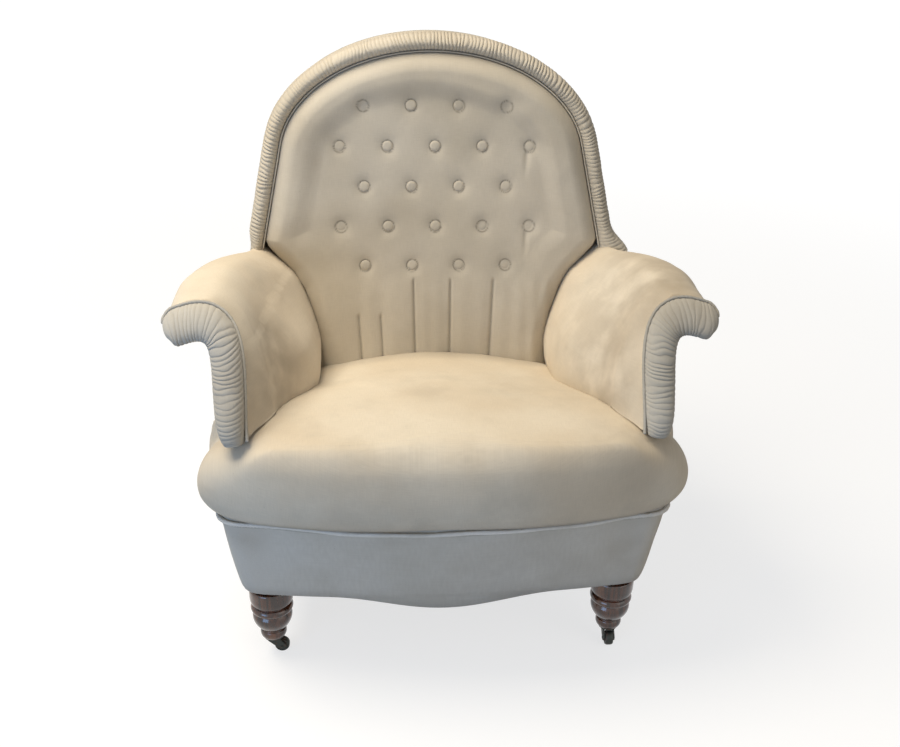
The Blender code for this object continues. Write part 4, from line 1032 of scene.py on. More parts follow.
@dataclass
class Arm:
    """A stuffed arm with its scrolled top, gathered facing, piping and outside panel."""

    side: Side
    form: BackForm = field(default_factory=BackForm)
    outside_cut: tuple = (0.51, 0.41, 0.161)
    shelf_z: float = 0.4035
    shelf_drop: float = 0.0018
    shelf_y: float = -0.163
    front_y: float = -0.243
    front_lean: float = 0.72
    bottom_z: float = 0.2153
    flare_start: float = 0.155
    flare_length: float = 0.20
    narrow_start: float = 0.03
    narrow_length: float = 0.20
    gather_in: float = 0.027
    facing_half: float = 0.0215
    facing_height: float = 0.029

    def front(self, z: np.ndarray) -> np.ndarray:
        """The arm's leaning front plane, before the plan shift."""
        return self.front_y + self.front_lean * (z - self.shelf_z)

    def flared(self, y: np.ndarray) -> np.ndarray:
        """How far the arm has flared at y, from 0 at the back to 1, without a kink."""
        t = (self.flare_start - y) / self.flare_length
        return np.minimum(0.5 * (t + np.sqrt(t * t + 0.010)), 1.0)

    def shifted(self, points: np.ndarray) -> np.ndarray:
        """Mirror right-hand points for the left and shift them in plan.

        Args:
            points: Places on the right, one row each.

        Returns:
            The places on this side.
        """
        points = points * (self.side.value, 1.0, 1.0)
        points[:, 1] += PLAN_SHIFT
        return points

    def sections(self, count: int) -> tuple:
        """The rear and front sections, point for point.

        Args:
            count: Number of points wanted in each.

        Returns:
            The rear section, the front one, how low each point is and whether it gathers in.
        """
        lows = (self.bottom_z, 0.285, 0.330, 0.360, 0.390, 0.430, 0.466, 0.495)
        rear = [(self.form.half_width(z) + 0.0006, z) for z in lows]
        rear += [(0.2650, 0.5170), (0.2820, 0.5290), (0.2960, 0.5330), (0.3030, 0.5280)]
        rear += [(0.3045, 0.5180), (0.3040, 0.5100), (0.3035, 0.5040), (0.3020, 0.5005)]
        rear += [(0.2900, 0.4990), (0.2720, 0.4850), (0.2660, 0.4600), (0.2640, 0.4000)]
        rear += [(0.2630, 0.3000), (0.2560, self.bottom_z)]
        front = [(0.2520, self.bottom_z), (0.2505, 0.285), (0.2495, 0.330), (0.2480, 0.365)]
        front += [(0.2490, 0.400), (0.2540, 0.440), (0.2640, 0.480), (0.2840, 0.528)]
        front += [(0.3150, 0.5590), (0.3450, 0.5640), (0.3720, 0.5590), (0.3900, 0.5420)]
        front += [(0.3860, 0.5250), (0.3700, 0.5170), (0.3520, 0.5180), (0.3380, 0.5182)]
        front += [(0.3100, 0.5150), (0.2850, 0.4980), (0.2740, 0.4600), (0.2680, 0.3900)]
        front += [(0.2660, 0.3000), (0.2640, self.bottom_z)]
        marks = np.arange(len(rear), dtype=float)
        low = np.interp(marks, (5.0, 7.0, 17.0, 19.0), (1.0, 0.0, 0.0, 1.0))
        gather = np.interp(marks, (6.5, 9.0, 15.5, 17.5), (1.0, 0.0, 0.0, 1.0))
        stack = np.column_stack([np.array(rear), np.array(front), low, gather])
        line = np.vstack([spline(np.vstack([stack[:1], stack, stack[-1:]]), 16), stack[-1:]])
        made = evenly(line, lengths(line[:, 2:4]), count)
        return made[:, :2], made[:, 2:4], unit(made[:, 4]), unit(made[:, 5])

    def pad(self) -> bpy.types.Object:
        """Build the stuffed arm.

        Returns:
            The arm.
        """
        around = 190
        rear, front, low, gather = self.sections(around + 1)
        form = self.form
        drift = Drift(31 + self.side.value)
        rear_y = form.frame(0.5) - PLAN_SHIFT

        def place(u: np.ndarray, v: np.ndarray) -> tuple:
            """Carry the sheet round the arm's sections from the back to the front."""
            index = nearest(v, around)
            y = rear_y + (self.shelf_y + 0.002 - rear_y) * unit(u / 0.80)
            shut = unit((u - 0.975) / 0.025)
            share_front = unit((u - 0.80) / 0.175)
            flare = 1.0 - (1.0 - self.flared(y)) ** 2
            narrow = ease((self.narrow_start - y) / self.narrow_length)
            share = flare * (1.0 - low[index]) + narrow * low[index]
            x = rear[index, 0] + (front[index, 0] - rear[index, 0]) * share
            z = rear[index, 1] + (front[index, 1] - rear[index, 1]) * share
            x = x + self.gather_in * ease(share_front) * gather[index]
            forward = share_front > 0.0
            below = unit((self.shelf_z - z) / (self.shelf_z - self.bottom_z))
            z = np.where(forward, np.maximum(z, self.shelf_z) - self.shelf_drop * below, z)
            lean = (form.frame(z) - PLAN_SHIFT - 0.0003 - rear_y) * unit((y - 0.10) / 0.12)
            reach = self.shelf_y / self.front_y
            reach = reach + (1.0 - reach) * share_front
            ahead = y / self.shelf_y * self.front(np.maximum(z, self.shelf_z)) * reach
            y = np.where(y < 0.0, ahead, y + lean)
            spot = np.stack([x, y, z], 1)
            face = ease((index / around - 0.02) / 0.05) * ease((0.72 - index / around) / 0.05)
            soft = 0.0022 * drift.at(spot, 0.075) + 0.0006 * drift.at(spot + 4.0, 0.024)
            fullness = 0.004 * np.sin(unit(u) * math.pi) * face
            outward = np.where((z > 0.50)[:, None], (0.3, 0.0, 0.8), (-1.0, 0.0, 0.1))
            spot = spot + outward * ((soft * face + fullness) * (1.0 - share_front))[:, None]
            pinch = ease((u - 0.955) / 0.02) * face
            spot = spot - outward * (0.0035 * pinch)[:, None]
            gathers = np.abs(np.sin(spot[:, 0] * 620.0 + 2.0 * drift.at(spot, 0.03)))
            near_seam = ease((u - 0.90) / 0.07) * ease((z - 0.50) / 0.03) * (1.0 - shut)
            spot[:, 2] -= 0.0011 * (1.0 - gathers) ** 2 * near_seam * face
            middle = np.array([0.325, self.front(0.530), 0.530])
            spot = spot + (middle - spot) * shut[:, None]
            # Painted shade where the pad tucks in behind the facing, and in the crease at seat
            # height near the back.
            soil = 0.85 * ease((u - 0.966) / 0.009) * face
            soil = soil + 0.5 * bell(z - 0.36, 0.01) * (y > 0.12) * face
            return self.shifted(spot), unit(soil)

        shape = Shape(f"{self.side.word}_arm_stuffed").sheet(190, around, place, (0.46, 0.70))
        return shape.closed(2e-5).object()

    def facing_line(self, count: int) -> np.ndarray:
        """The facing's middle line, from the seat up and over into the scroll.

        Args:
            count: Number of places.

        Returns:
            Rows of x and z.
        """
        points = [(0.2985, self.shelf_z - 0.004), (0.3010, 0.425), (0.3035, 0.46), (0.3060, 0.49)]
        points += [(0.3110, 0.514), (0.3200, 0.5300), (0.3340, 0.5385), (0.3500, 0.5400)]
        points += [(0.3680, 0.5365), (0.3830, 0.5320), (0.3905, 0.5275)]
        return curve_through(points, count)

    def tip(self, left: np.ndarray) -> np.ndarray:
        """How far the facing's round end has closed in, by the length left to its tip."""
        return dome(left / 0.017)

    def facing_width(self, s: np.ndarray) -> np.ndarray:
        """Half the facing's width at a length from its foot."""
        return self.facing_half * (0.90 + 0.10 * ease(s / 0.08))

    def facing(self) -> bpy.types.Object:
        """Build the gathered facing, a stuffed roll bent over the scroll.

        Returns:
            The facing.
        """
        count = 520
        line = self.facing_line(count)
        steps = lengths(line)
        length = float(steps[-1])
        along = np.gradient(line, axis=0)
        along /= np.hypot(along[:, 0], along[:, 1])[:, None]
        drift = Drift(47 + self.side.value)

        def place(u: np.ndarray, v: np.ndarray) -> tuple:
            """Carry the sheet along the facing and over its crown."""
            index = nearest(u, count - 1)
            s = steps[index]
            turn = (v - 0.5) * 2.0
            left = length - s
            cap = self.tip(left)
            foot = dome((s + 0.004) / 0.042)
            width = self.facing_width(s) * np.minimum(cap, 0.45 + 0.55 * foot)
            angle = turn * math.pi * 0.56
            across = np.sin(angle) / math.sin(math.pi * 0.5)
            crown = np.clip(np.cos(angle) + 0.17, 0.0, 2.0) / 1.17
            height = self.facing_height * crown**0.8 * (0.35 + 0.65 * cap) * (0.12 + 0.88 * foot)
            flat = np.stack([s, v * 0.03, np.zeros_like(s)], 1)
            jitter = drift.at(flat, 0.018) * 0.6 + drift.at(flat + 7.0, 0.007) * 0.2
            phase = s / 0.0062 + jitter * 1.5
            pleat = np.abs(np.sin(math.pi * phase)) ** 0.7
            vary = 0.62 + 0.38 * drift.at(flat + 3.0, 0.025)
            tip = ease(left / 0.02)
            height = height + (pleat - 0.6) * 0.0019 * vary * crown**0.5 * tip
            height = height + 0.0012 * drift.at(flat + 2.0, 0.03) * crown
            across = across * (1.0 + 0.03 * (pleat - 0.6) * tip)
            spot_x = line[index, 0] + across * width * along[index, 1] - 0.004 * (1.0 - foot)
            spot_z = line[index, 1] - across * width * along[index, 0]
            y = self.front(spot_z) + 0.003 - height
            spot = np.stack([spot_x, y, spot_z], 1)
            # Painted shade in the pleats' valleys and along both edges, darker along the inner
            # one.
            valley = (1.0 - pleat) ** 3 * unit(vary) * crown * tip
            rims = 0.6 * ease((-0.86 - turn) / 0.1) + 0.3 * ease((turn - 0.9) / 0.1)
            soil = valley * 0.55 + rims
            return self.shifted(spot), unit(soil)

        shape = Shape(f"{self.side.word}_facing_gathered")
        return shape.sheet(count - 1, 44, place, (length, 0.075)).closed().object()

    def piping(self) -> bpy.types.Object:
        """Build the cord along the facing's inner edge.

        Returns:
            The cord.
        """
        count = 240
        line = self.facing_line(count)
        along = np.gradient(line, axis=0)
        along /= np.hypot(along[:, 0], along[:, 1])[:, None]
        s = lengths(line)
        width = (self.facing_width(s) + 0.0016) * self.tip(s[-1] - s)
        x = line[:, 0] - width * along[:, 1]
        z = line[:, 1] + width * along[:, 0]
        y = self.front(z) - 0.0028
        places = np.stack([x, y, z], 1)[s[-1] - s > 0.0012]
        return Cord(f"{self.side.word}_facing_piping", self.shifted(places), 0.0024).build()

    def outside(self) -> bpy.types.Object:
        """Build the outside panel from the scroll's tuck down over the rail.

        Returns:
            The panel.
        """
        near = [(0.300, 0.137), (0.313, 0.21), (0.3225, 0.28), (0.3230, 0.36), (0.3225, 0.43)]
        near += [(0.3290, 0.488), (0.3360, 0.5170)]
        far = [(0.277, 0.137), (0.279, 0.21), (0.285, 0.28), (0.292, 0.36), (0.298, 0.44)]
        far += [(0.3010, 0.485), (0.3025, 0.4990)]
        high = 60
        near_line, far_line = curve_through(near, high + 1), curve_through(far, high + 1)
        drift = Drift(59 + self.side.value)
        start, step_y, rise_y = -0.162, 0.158, 0.175
        end = self.form.frame(0.300) - PLAN_SHIFT + 0.030

        def place(u: np.ndarray, v: np.ndarray) -> tuple:
            """Carry the sheet up the panel's face and back down its inside."""
            up = unit(np.where(v < 0.5, v * 2.06, (1.0 - v) * 2.06))
            inner = v > 0.5
            index = nearest(up, high)
            level = near_line[index, 1]
            ahead = ease((level - self.shelf_z - 0.001) / 0.014)
            ahead = np.maximum(ahead, 0.5 * ease((level - self.shelf_z + 0.024) / 0.012))
            first = start + (self.front(level) + 0.0012 - start) * ahead
            y = first + (end - first) * u
            share = ((1.0 - self.flared(y)) ** 2)[:, None]
            spot = near_line[index] * (1.0 - share) + far_line[index] * share
            x, z = spot[:, 0], spot[:, 1]
            drawn_in = ease((z - 0.30) / 0.05) * (1.0 - ease((z - 0.47) / 0.04))
            x = x - 0.006 * ease((-0.05 - y) / 0.09) * drawn_in
            top = ease((up - 0.70) / 0.30)
            x = x + 0.0072 * top * ease((y - step_y) / 0.012)
            z = z + 0.040 * top**2 * ease((y - rise_y) / 0.015)
            lean = self.form.frame_lean * np.clip(y / end, 0.0, 2.0)
            place_y = np.maximum(y + lean * (z - 0.300), self.front(z) + 0.0012)
            spread = np.stack([place_y, z, np.full(len(u), 2.0)], 1)
            sag = 0.0018 * drift.at(spread, 0.09) + 0.0005 * drift.at(spread + 3.0, 0.03)
            edge = ease(u / 0.01) * ease((1.0 - u) / 0.01) * ease(up / 0.02)
            x = x + sag * np.sin(up * math.pi) - np.where(inner, 0.0035 * edge, 0.0)
            # Painted shade along the panel's bottom and top edges.
            soil = 0.4 * bell(up, 0.03) + 0.5 * bell(1.0 - up, 0.03)
            return self.shifted(np.stack([x, place_y, z], 1)), soil

        shape = Shape(f"{self.side.word}_outside_arm_cover").sheet(150, 121, place, (0.42, 0.8))
        return shape.closed(1e-5).object()

    def build(self, cloth: bpy.types.Material, facing: bpy.types.Material) -> None:
        """Make and dress the arm.

        Args:
            cloth: Cloth of the pad and panel.
            facing: Cloth of the facing and its piping, darkened as painted shade.
        """
        word = self.side.word
        dress(self.pad(), cloth, f"{word}_arm_pad", padded=0.85)
        dress(self.facing(), facing, f"{word}_arm_facing", padded=0.9)
        dress(self.piping(), facing, slot=f"{word}_arm_facing")
        cut = (*self.outside_cut, f"{word}_arm_frame", f"{word}_seat_rail")
        dress(self.outside(), cloth, f"{word}_outside_arm", cut=cut)


@dataclass
class Seat:
    """The sprung seat's stuffed top, its piping and the flared border under it."""

    form: BackForm = field(default_factory=BackForm)
    bottom_z: float = 0.2803
    front_y: float = -0.318
    front_bow: float = 0.50
    ear_x: float = 0.356
    ear_front: float = -0.222
    ear_back: float = -0.168
    middle_y: float = -0.220
    top_z: float = 0.412
    sag: float = 0.050
    apron_centre: float = -0.252
    apron_bow: float = 0.25
    apron_flare: float = 0.032
    apron_thick: float = 0.010
    apron_proud: float = 0.009
    apron_bottom: float = 0.137
    apron_drop: float = 0.0295
    apron_drop_half: float = 0.18
    corner_x: float = 0.270

    def arm_x(self, y: float) -> float:
        """The arm's inner face at seat level.

        Args:
            y: Place from front to back.

        Returns:
            Its x on the right.
        """
        share = float(ease((0.03 - y) / 0.20))
        rear = float(self.form.half_width(0.38)) + 0.0003
        return rear + (0.248 - rear) * share

    def outline(self) -> np.ndarray:
        """The pad in plan at its widest, closed, from the front middle.

        Returns:
            Rows of x and y.
        """
        fronts = (0.06, 0.12, 0.18, 0.24, 0.285)
        right = [(x, self.front_y + self.front_bow * x * x) for x in fronts]
        right += [(0.322, self.ear_front - 0.040), (0.345, self.ear_front - 0.022)]
        right += [(self.ear_x, self.ear_front), (self.ear_x - 0.003, self.ear_back - 0.022)]
        right += [(0.338, self.ear_back - 0.004), (0.312, self.ear_back + 0.003)]
        arm = self.arm_x(self.ear_back)
        right += [(0.275, self.ear_back + 0.004), (arm + 0.006, self.ear_back + 0.006)]
        right += [(arm + 0.003, self.ear_back + 0.012)]
        sides = (-0.14, -0.11, -0.08, -0.05, -0.02, 0.02, 0.06)
        right += [(self.arm_x(y) + 0.001, y) for y in sides]
        rear = self.form.face(self.bottom_z) - PLAN_SHIFT - 0.001
        right += [(0.1950, rear - 0.010), (0.184, rear - 0.004)]
        right += [(x, rear) for x in (0.15, 0.10, 0.05)]
        left = [(-x, y) for x, y in right[::-1]]
        rows = [(0.0, self.front_y)] + right + [(0.0, rear)] + left
        return np.array(rows)

    def top(self, x: np.ndarray, y: np.ndarray) -> np.ndarray:
        """The seat's upper surface, domed in front and sagging towards the back.

        Args:
            x: Places across.
            y: Places from front to back.

        Returns:
            The heights.
        """
        share = ease((y + 0.20) / 0.36)
        crown = 0.30 + (0.95 - 0.30) * share
        wide = 0.24 * np.tanh(np.abs(x) / 0.24)
        hollow = 0.004 * np.exp(-((x / 0.13) ** 2) - ((y - 0.02) / 0.08) ** 2)
        return self.top_z - self.sag * share - crown * wide**2 - hollow

    def pad(self) -> bpy.types.Object:
        """Build the seat's pad.

        Returns:
            The pad.
        """
        around, rows = 420, 128
        loop = curve_through(self.outline(), around + 1, closed=True)
        profile = [(0.060, 0.0), (0.036, 0.0), (0.021, 0.015), (0.010, 0.09), (0.002, 0.21)]
        profile += [(0.0, 0.36), (0.003, 0.55), (0.012, 0.76), (0.028, 0.90)]
        profile += [(0.048, 0.975), (0.075, 1.0)]
        shell = curve_through(np.array(profile) * (1.0, 0.13), 80) / (1.0, 0.13)
        side = profile[:6] + [(0.003, 0.50), (0.011, 0.64), (0.025, 0.77), (0.045, 0.88)]
        side += [(0.070, 0.965), (0.100, 1.0)]
        softer = curve_through(np.array(side) * (1.0, 0.13), 80) / (1.0, 0.13)
        drift = Drift(71)
        middle = np.array([0.0, self.middle_y])

        def place(u: np.ndarray, v: np.ndarray) -> tuple:
            """Carry the sheet from under the pad round its edge to the middle of its top."""
            index = nearest(u, around) % around
            edge = loop[index]
            row = v * rows
            ear = ease((np.abs(edge[:, 0]) - 0.285) / 0.055) * (edge[:, 1] < self.ear_back - 0.01)
            plain, soft = read(shell, np.arange(8, 88), row), read(softer, np.arange(8, 88), row)
            inset, share = (plain + (soft - plain) * ear[:, None]).T
            scale = np.where(row > 87, 1.0 - (row - 87) / (rows - 87), 1.0)
            scale = np.where(row < 8, row / 8, scale)
            reach = edge - middle
            size = np.hypot(reach[:, 0], reach[:, 1])
            tight = 1.0 - 0.96 * ease((edge[:, 1] - self.ear_back + 0.020) / 0.018)
            flat = middle + reach * ((1.0 - inset * tight / size) * scale)[:, None]
            rise = share * (self.top(flat[:, 0], flat[:, 1]) - self.bottom_z)
            lean = self.form.face_lean * rise * ease(edge[:, 1] / 0.09) * scale
            y = flat[:, 1] + lean
            spot = np.stack([flat[:, 0], y, self.bottom_z + rise], 1)
            upper = ease((share - 0.2) / 0.5)
            wrinkle = 0.0018 * drift.at(spot, 0.10) + 0.0007 * drift.at(spot + 3.0, 0.035)
            wrinkle += 0.0003 * drift.at(spot + 6.0, 0.012)
            spot[:, 2] += wrinkle * upper
            # Painted shade along the bottom seam and towards the back, where the seat meets the
            # back.
            low = bell(share, 0.05) * (row >= 8)
            deep = ease((flat[:, 1] - 0.055) / 0.04) * (share > 0.5) * 0.35
            soil = unit(0.75 * low + deep)
            return spot + (0.0, PLAN_SHIFT, 0.0), soil

        shape = Shape("seat_stuffed_pad").sheet(around, rows, place)
        return shape.woven(lambda co: (co.x, co.y - co.z)).closed(2e-5).object()

    def apron_line(self) -> np.ndarray:
        """Rows of x, y, outward x, outward y and flare, left to right in plan.

        Returns:
            The rows.
        """
        base = self.apron_centre + self.apron_bow * self.corner_x**2
        right = []
        for x in np.linspace(0.0, self.corner_x - 0.020, 12):
            y = self.apron_centre + self.apron_bow * x * x
            right.append((x, y, 0.0, -1.0, self.apron_flare - self.apron_bow * x * x))
        corner = [(0.0, 0.0, 12, 0.016), (0.016, 0.004, 35, 0.021), (0.026, 0.012, 60, 0.026)]
        corner += [(0.030, 0.024, 80, 0.029), (0.030, 0.040, 90, 0.029)]
        corner += [(0.030, -0.1623 - base, 90, 0.0225)]
        for dx, dy, turn, flare in corner:
            turn = math.radians(turn)
            right.append((self.corner_x + dx, base + dy, math.sin(turn), -math.cos(turn), flare))
        left = [(-x, y, -nx, ny, flare) for x, y, nx, ny, flare in right[:0:-1]]
        return curve_through(left + right, 341)

    def apron_low(self, x: np.ndarray) -> np.ndarray:
        """The border's serpentine lower edge.

        Args:
            x: Places across.

        Returns:
            The heights.
        """
        inside = np.abs(x) < self.apron_drop_half
        wave = 0.5 + 0.5 * np.cos(math.pi * x / self.apron_drop_half)
        return self.apron_bottom - self.apron_drop * np.where(inside, wave, 0.0)

    def apron(self) -> bpy.types.Object:
        """Build the border from the piping down, over its edge and up inside.

        Returns:
            The border.
        """
        line = self.apron_line()
        count = len(line)
        drift = Drift(83)
        top = self.bottom_z - 0.0003

        def place(u: np.ndarray, v: np.ndarray) -> tuple:
            """Carry the sheet along the border and round its section."""
            index = nearest(u, count - 1)
            x, y, nx, ny, most = line[index].T
            low = self.apron_low(x)
            outer = v < 0.58
            roll = (v >= 0.58) & (v < 0.66)
            last = v > 0.999
            share = 1.0 - unit(v / 0.58) ** 1.6
            share = np.where(outer, share, np.where(roll, 0.0, (v - 0.66) / 0.34))
            z = low + (top - low) * share
            rise = (z - self.apron_bottom) / (top - self.apron_bottom)
            proud = self.apron_proud * ease(-1.3 * ny)
            flare = 0.005 + (most + proud - 0.005) * np.sign(rise) * np.abs(rise) ** 0.72
            swing = unit((v - 0.58) / 0.08) * math.pi
            thick = self.apron_thick * 0.5
            inward = np.where(roll, thick * (1.0 - np.cos(swing)), 2 * thick)
            inward = np.where(outer | last, 0.0, inward)
            z = z - np.where(roll, 0.0042 * np.sin(swing), 0.0)
            flare = np.where(outer | roll | last, flare, 0.0)
            spread = np.stack([x, y, z], 1)
            soft = 0.0022 * drift.at(spread, 0.10) + 0.0006 * drift.at(spread + 3.0, 0.03)
            ripple = 0.0012 * np.sin(index * 0.19) * bell(z - low, 0.02)
            lift = np.where(outer, (soft + ripple) * np.sin(unit(share) * math.pi), 0.0)
            out = flare + lift - inward
            spot = np.stack([x + nx * out, y + ny * out + PLAN_SHIFT, z], 1)
            # Painted shade: a dark line just under the piping and a flat darkening on the inside;
            # also darker along the lower edge.
            soil = np.where(outer, bell(top - 0.0112 - z, 0.0018), 0.25)
            soil = soil + np.where(outer, 0.22 * bell(z - low, 0.012), 0.0)
            return spot, unit(soil)

        shape = Shape("front_border_cover").sheet(count - 1, 92, place, (0.95, 0.30))
        return shape.closed(1e-5).object()

    def piping(self) -> bpy.types.Object:
        """Build the cord between the seat and its border.

        Returns:
            The cord.
        """
        line = self.apron_line()
        fore = ease(-1.3 * line[:, 3])
        out = line[:, 4] + (self.apron_proud + 0.0036) * fore
        x = line[:, 0] + line[:, 2] * out
        y = line[:, 1] + line[:, 3] * out + PLAN_SHIFT
        wave = 0.0012 * np.sin(x * 21.0 + 0.6) + 0.0006 * np.sin(x * 55.0)
        z = self.bottom_z - 0.0042 - 0.0022 * fore + wave * fore
        return Cord("seat_piping", np.stack([x, y, z], 1), 0.0033, 0.04).build()

    def build(
        self, cloth: bpy.types.Material, apron: bpy.types.Material, cord: bpy.types.Material
    ) -> None:
        """Make and dress the seat.

        Args:
            cloth: Cloth of the pad.
            apron: Cloth of the border.
            cord: Cloth of the piping, made paler as painted light.
        """
        dress(self.pad(), cloth, "seat_pad", padded=0.7)
        dress(self.apron(), apron, "front_border", padded=0.95)
        dress(self.piping(), cord, slot="front_border")


@dataclass
class Underparts:
    """Turned legs, castors and the frame that the covers hide."""

    leg_x: float = 0.265
    leg_y: float = -0.202119 + PLAN_SHIFT
    leg_end: float = 0.0308
    fuller: float = 1.10
    wheel_radius: float = 0.0115
    wheel_width: float = 0.012
    trail: float = 0.012

    def leg(self, side: Side) -> bpy.types.Object:
        """Build one turned leg with its square block.

        Args:
            side: Which leg.

        Returns:
            The leg.
        """
        body = [(0.0140, 0.0), (0.0152, 0.0008), (0.0175, 0.004), (0.0185, 0.009)]
        body += [(0.0176, 0.0142), (0.0160, 0.0158), (0.0160, 0.0172), (0.0190, 0.0205)]
        body += [(0.0232, 0.026), (0.0262, 0.0325), (0.0276, 0.0385), (0.0275, 0.0440)]
        body += [(0.0256, 0.0492), (0.0250, 0.0505), (0.0276, 0.0520), (0.0294, 0.0555)]
        body += [(0.0294, 0.0590), (0.0276, 0.0625), (0.0254, 0.0640), (0.0254, 0.0655)]
        body += [(0.0290, 0.0690), (0.0302, 0.0740), (0.0305, 0.0810), (0.0302, 0.0930)]
        body += [(0.0270, 0.0965), (0.0212, 0.0980)]
        fine = curve_through(body, 150)
        profile = [(0.0, 0.0)] + [(r * self.fuller, z) for r, z in fine] + [(0.0, 0.0985)]
        shape = Shape(f"{side.word}_turned_leg")
        shape.turned([(r, self.leg_end + z) for r, z in profile], 64)
        block = bmesh.ops.create_cube(shape.work, size=1.0)["verts"]
        size = Matrix.Diagonal((0.0338, 0.0338, 0.0838, 1.0))
        raised = Matrix.Translation((0, 0, 0.1725)) @ size
        bmesh.ops.transform(shape.work, matrix=raised, verts=block)
        shape.moved(Matrix.Translation((side.value * self.leg_x, self.leg_y, 0.0)))
        return shape.closed(1e-6).object(50.0)

    def wheel(self, side: Side) -> bpy.types.Object:
        """Build one castor wheel.

        Args:
            side: Which castor.

        Returns:
            The wheel.
        """
        half = self.wheel_width / 2
        profile = [(0.0024, -half), (0.0050, -half), (0.0056, -half + 0.0008)]
        profile += [(0.0082, -half + 0.0008), (0.0088, -half), (0.0103, -half + 0.0002)]
        profile += [(0.0113, -half + 0.002), (0.0115, -0.002)]
        profile = profile + [(r, -h) for r, h in profile[::-1]] + [profile[0]]
        shape = Shape(f"{side.word}_wheel_rim").turned(profile, 40)
        left = side is Side.LEFT
        turn = Matrix.Rotation(math.pi / 2, 4, "X" if left else "Y")
        reach = (self.trail, 0.0) if left else (0.0, -self.trail)
        place = (side.value * self.leg_x + reach[0], self.leg_y + reach[1], self.wheel_radius)
        return shape.moved(Matrix.Translation(place) @ turn).closed(1e-6).object(50.0)

    def build(self, frame: dict) -> None:
        """Make the legs and wheels and dress the frame's own nodes.
        """
        polished = PolishedWood("polished_mahogany").material()
        iron = Metal("castor_iron").material()
        for side in Side:
            dress(self.leg(side), polished, f"{side.word}_front_leg")
            castor = f"{side.word}_castor_wheel"
            dress(self.wheel(side), iron, castor, body=castor)
        along_x = SawnWood("sawn_beech").material()
        along_y = SawnWood("sawn_beech_side", grain_scale=(160.0, 12.0, 160.0)).material()
        wire = Metal("spring_wire", (0.20, 0.19, 0.17), rust_share=0.6, metallic=0.9).material()
        webs = Jute("jute_webbing").material()
        plain = {
            "front_seat_rail": along_x,
            "back_seat_rail": along_x,
            "back_hoop": along_x,
            "seat_webbing": webs,
        }
        for side in Side:
            plain[f"{side.word}_seat_rail"] = along_y
            plain[f"{side.word}_back_leg"] = polished
            for part in ("arm_frame", "castor_plate", "castor_horn"):
                plain[f"{side.word}_{part}"] = iron
        for number in range(1, 10):
            plain[f"seat_spring_{number}"] = wire
        for node, material in plain.items():
            for slot in frame["nodes"][node].material_slots:
                slot.material = material
            LOG.info("dressed %s", node)


def dress(
    piece: bpy.types.Object,
    material: bpy.types.Material,
    *nodes: str,
    body: str = CHAIR,
    slot: str = "",
    padded: float = 0.0,
    cut: tuple = (),
) -> None:
    """Give a piece its material, put it on its body and hide the frame nodes that it replaces.

    Args:
        piece: The finished piece.
        material: Its finish.
        nodes: Frame nodes that it replaces.
        body: The body that it rides on.
        slot: The record's material slot, the first node's if empty; not used.
        padded: How full it is, for a stuffed piece; not used.
        cut: Width, length and area of a sheet of cloth, then what it is stretched over; not used.
    """
    piece.data.materials.clear()
    piece.data.materials.append(material)
    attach(piece, body)
    if nodes:
        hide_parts(*nodes)
    LOG.info("made %s, %d faces", piece.name, len(piece.data.polygons))


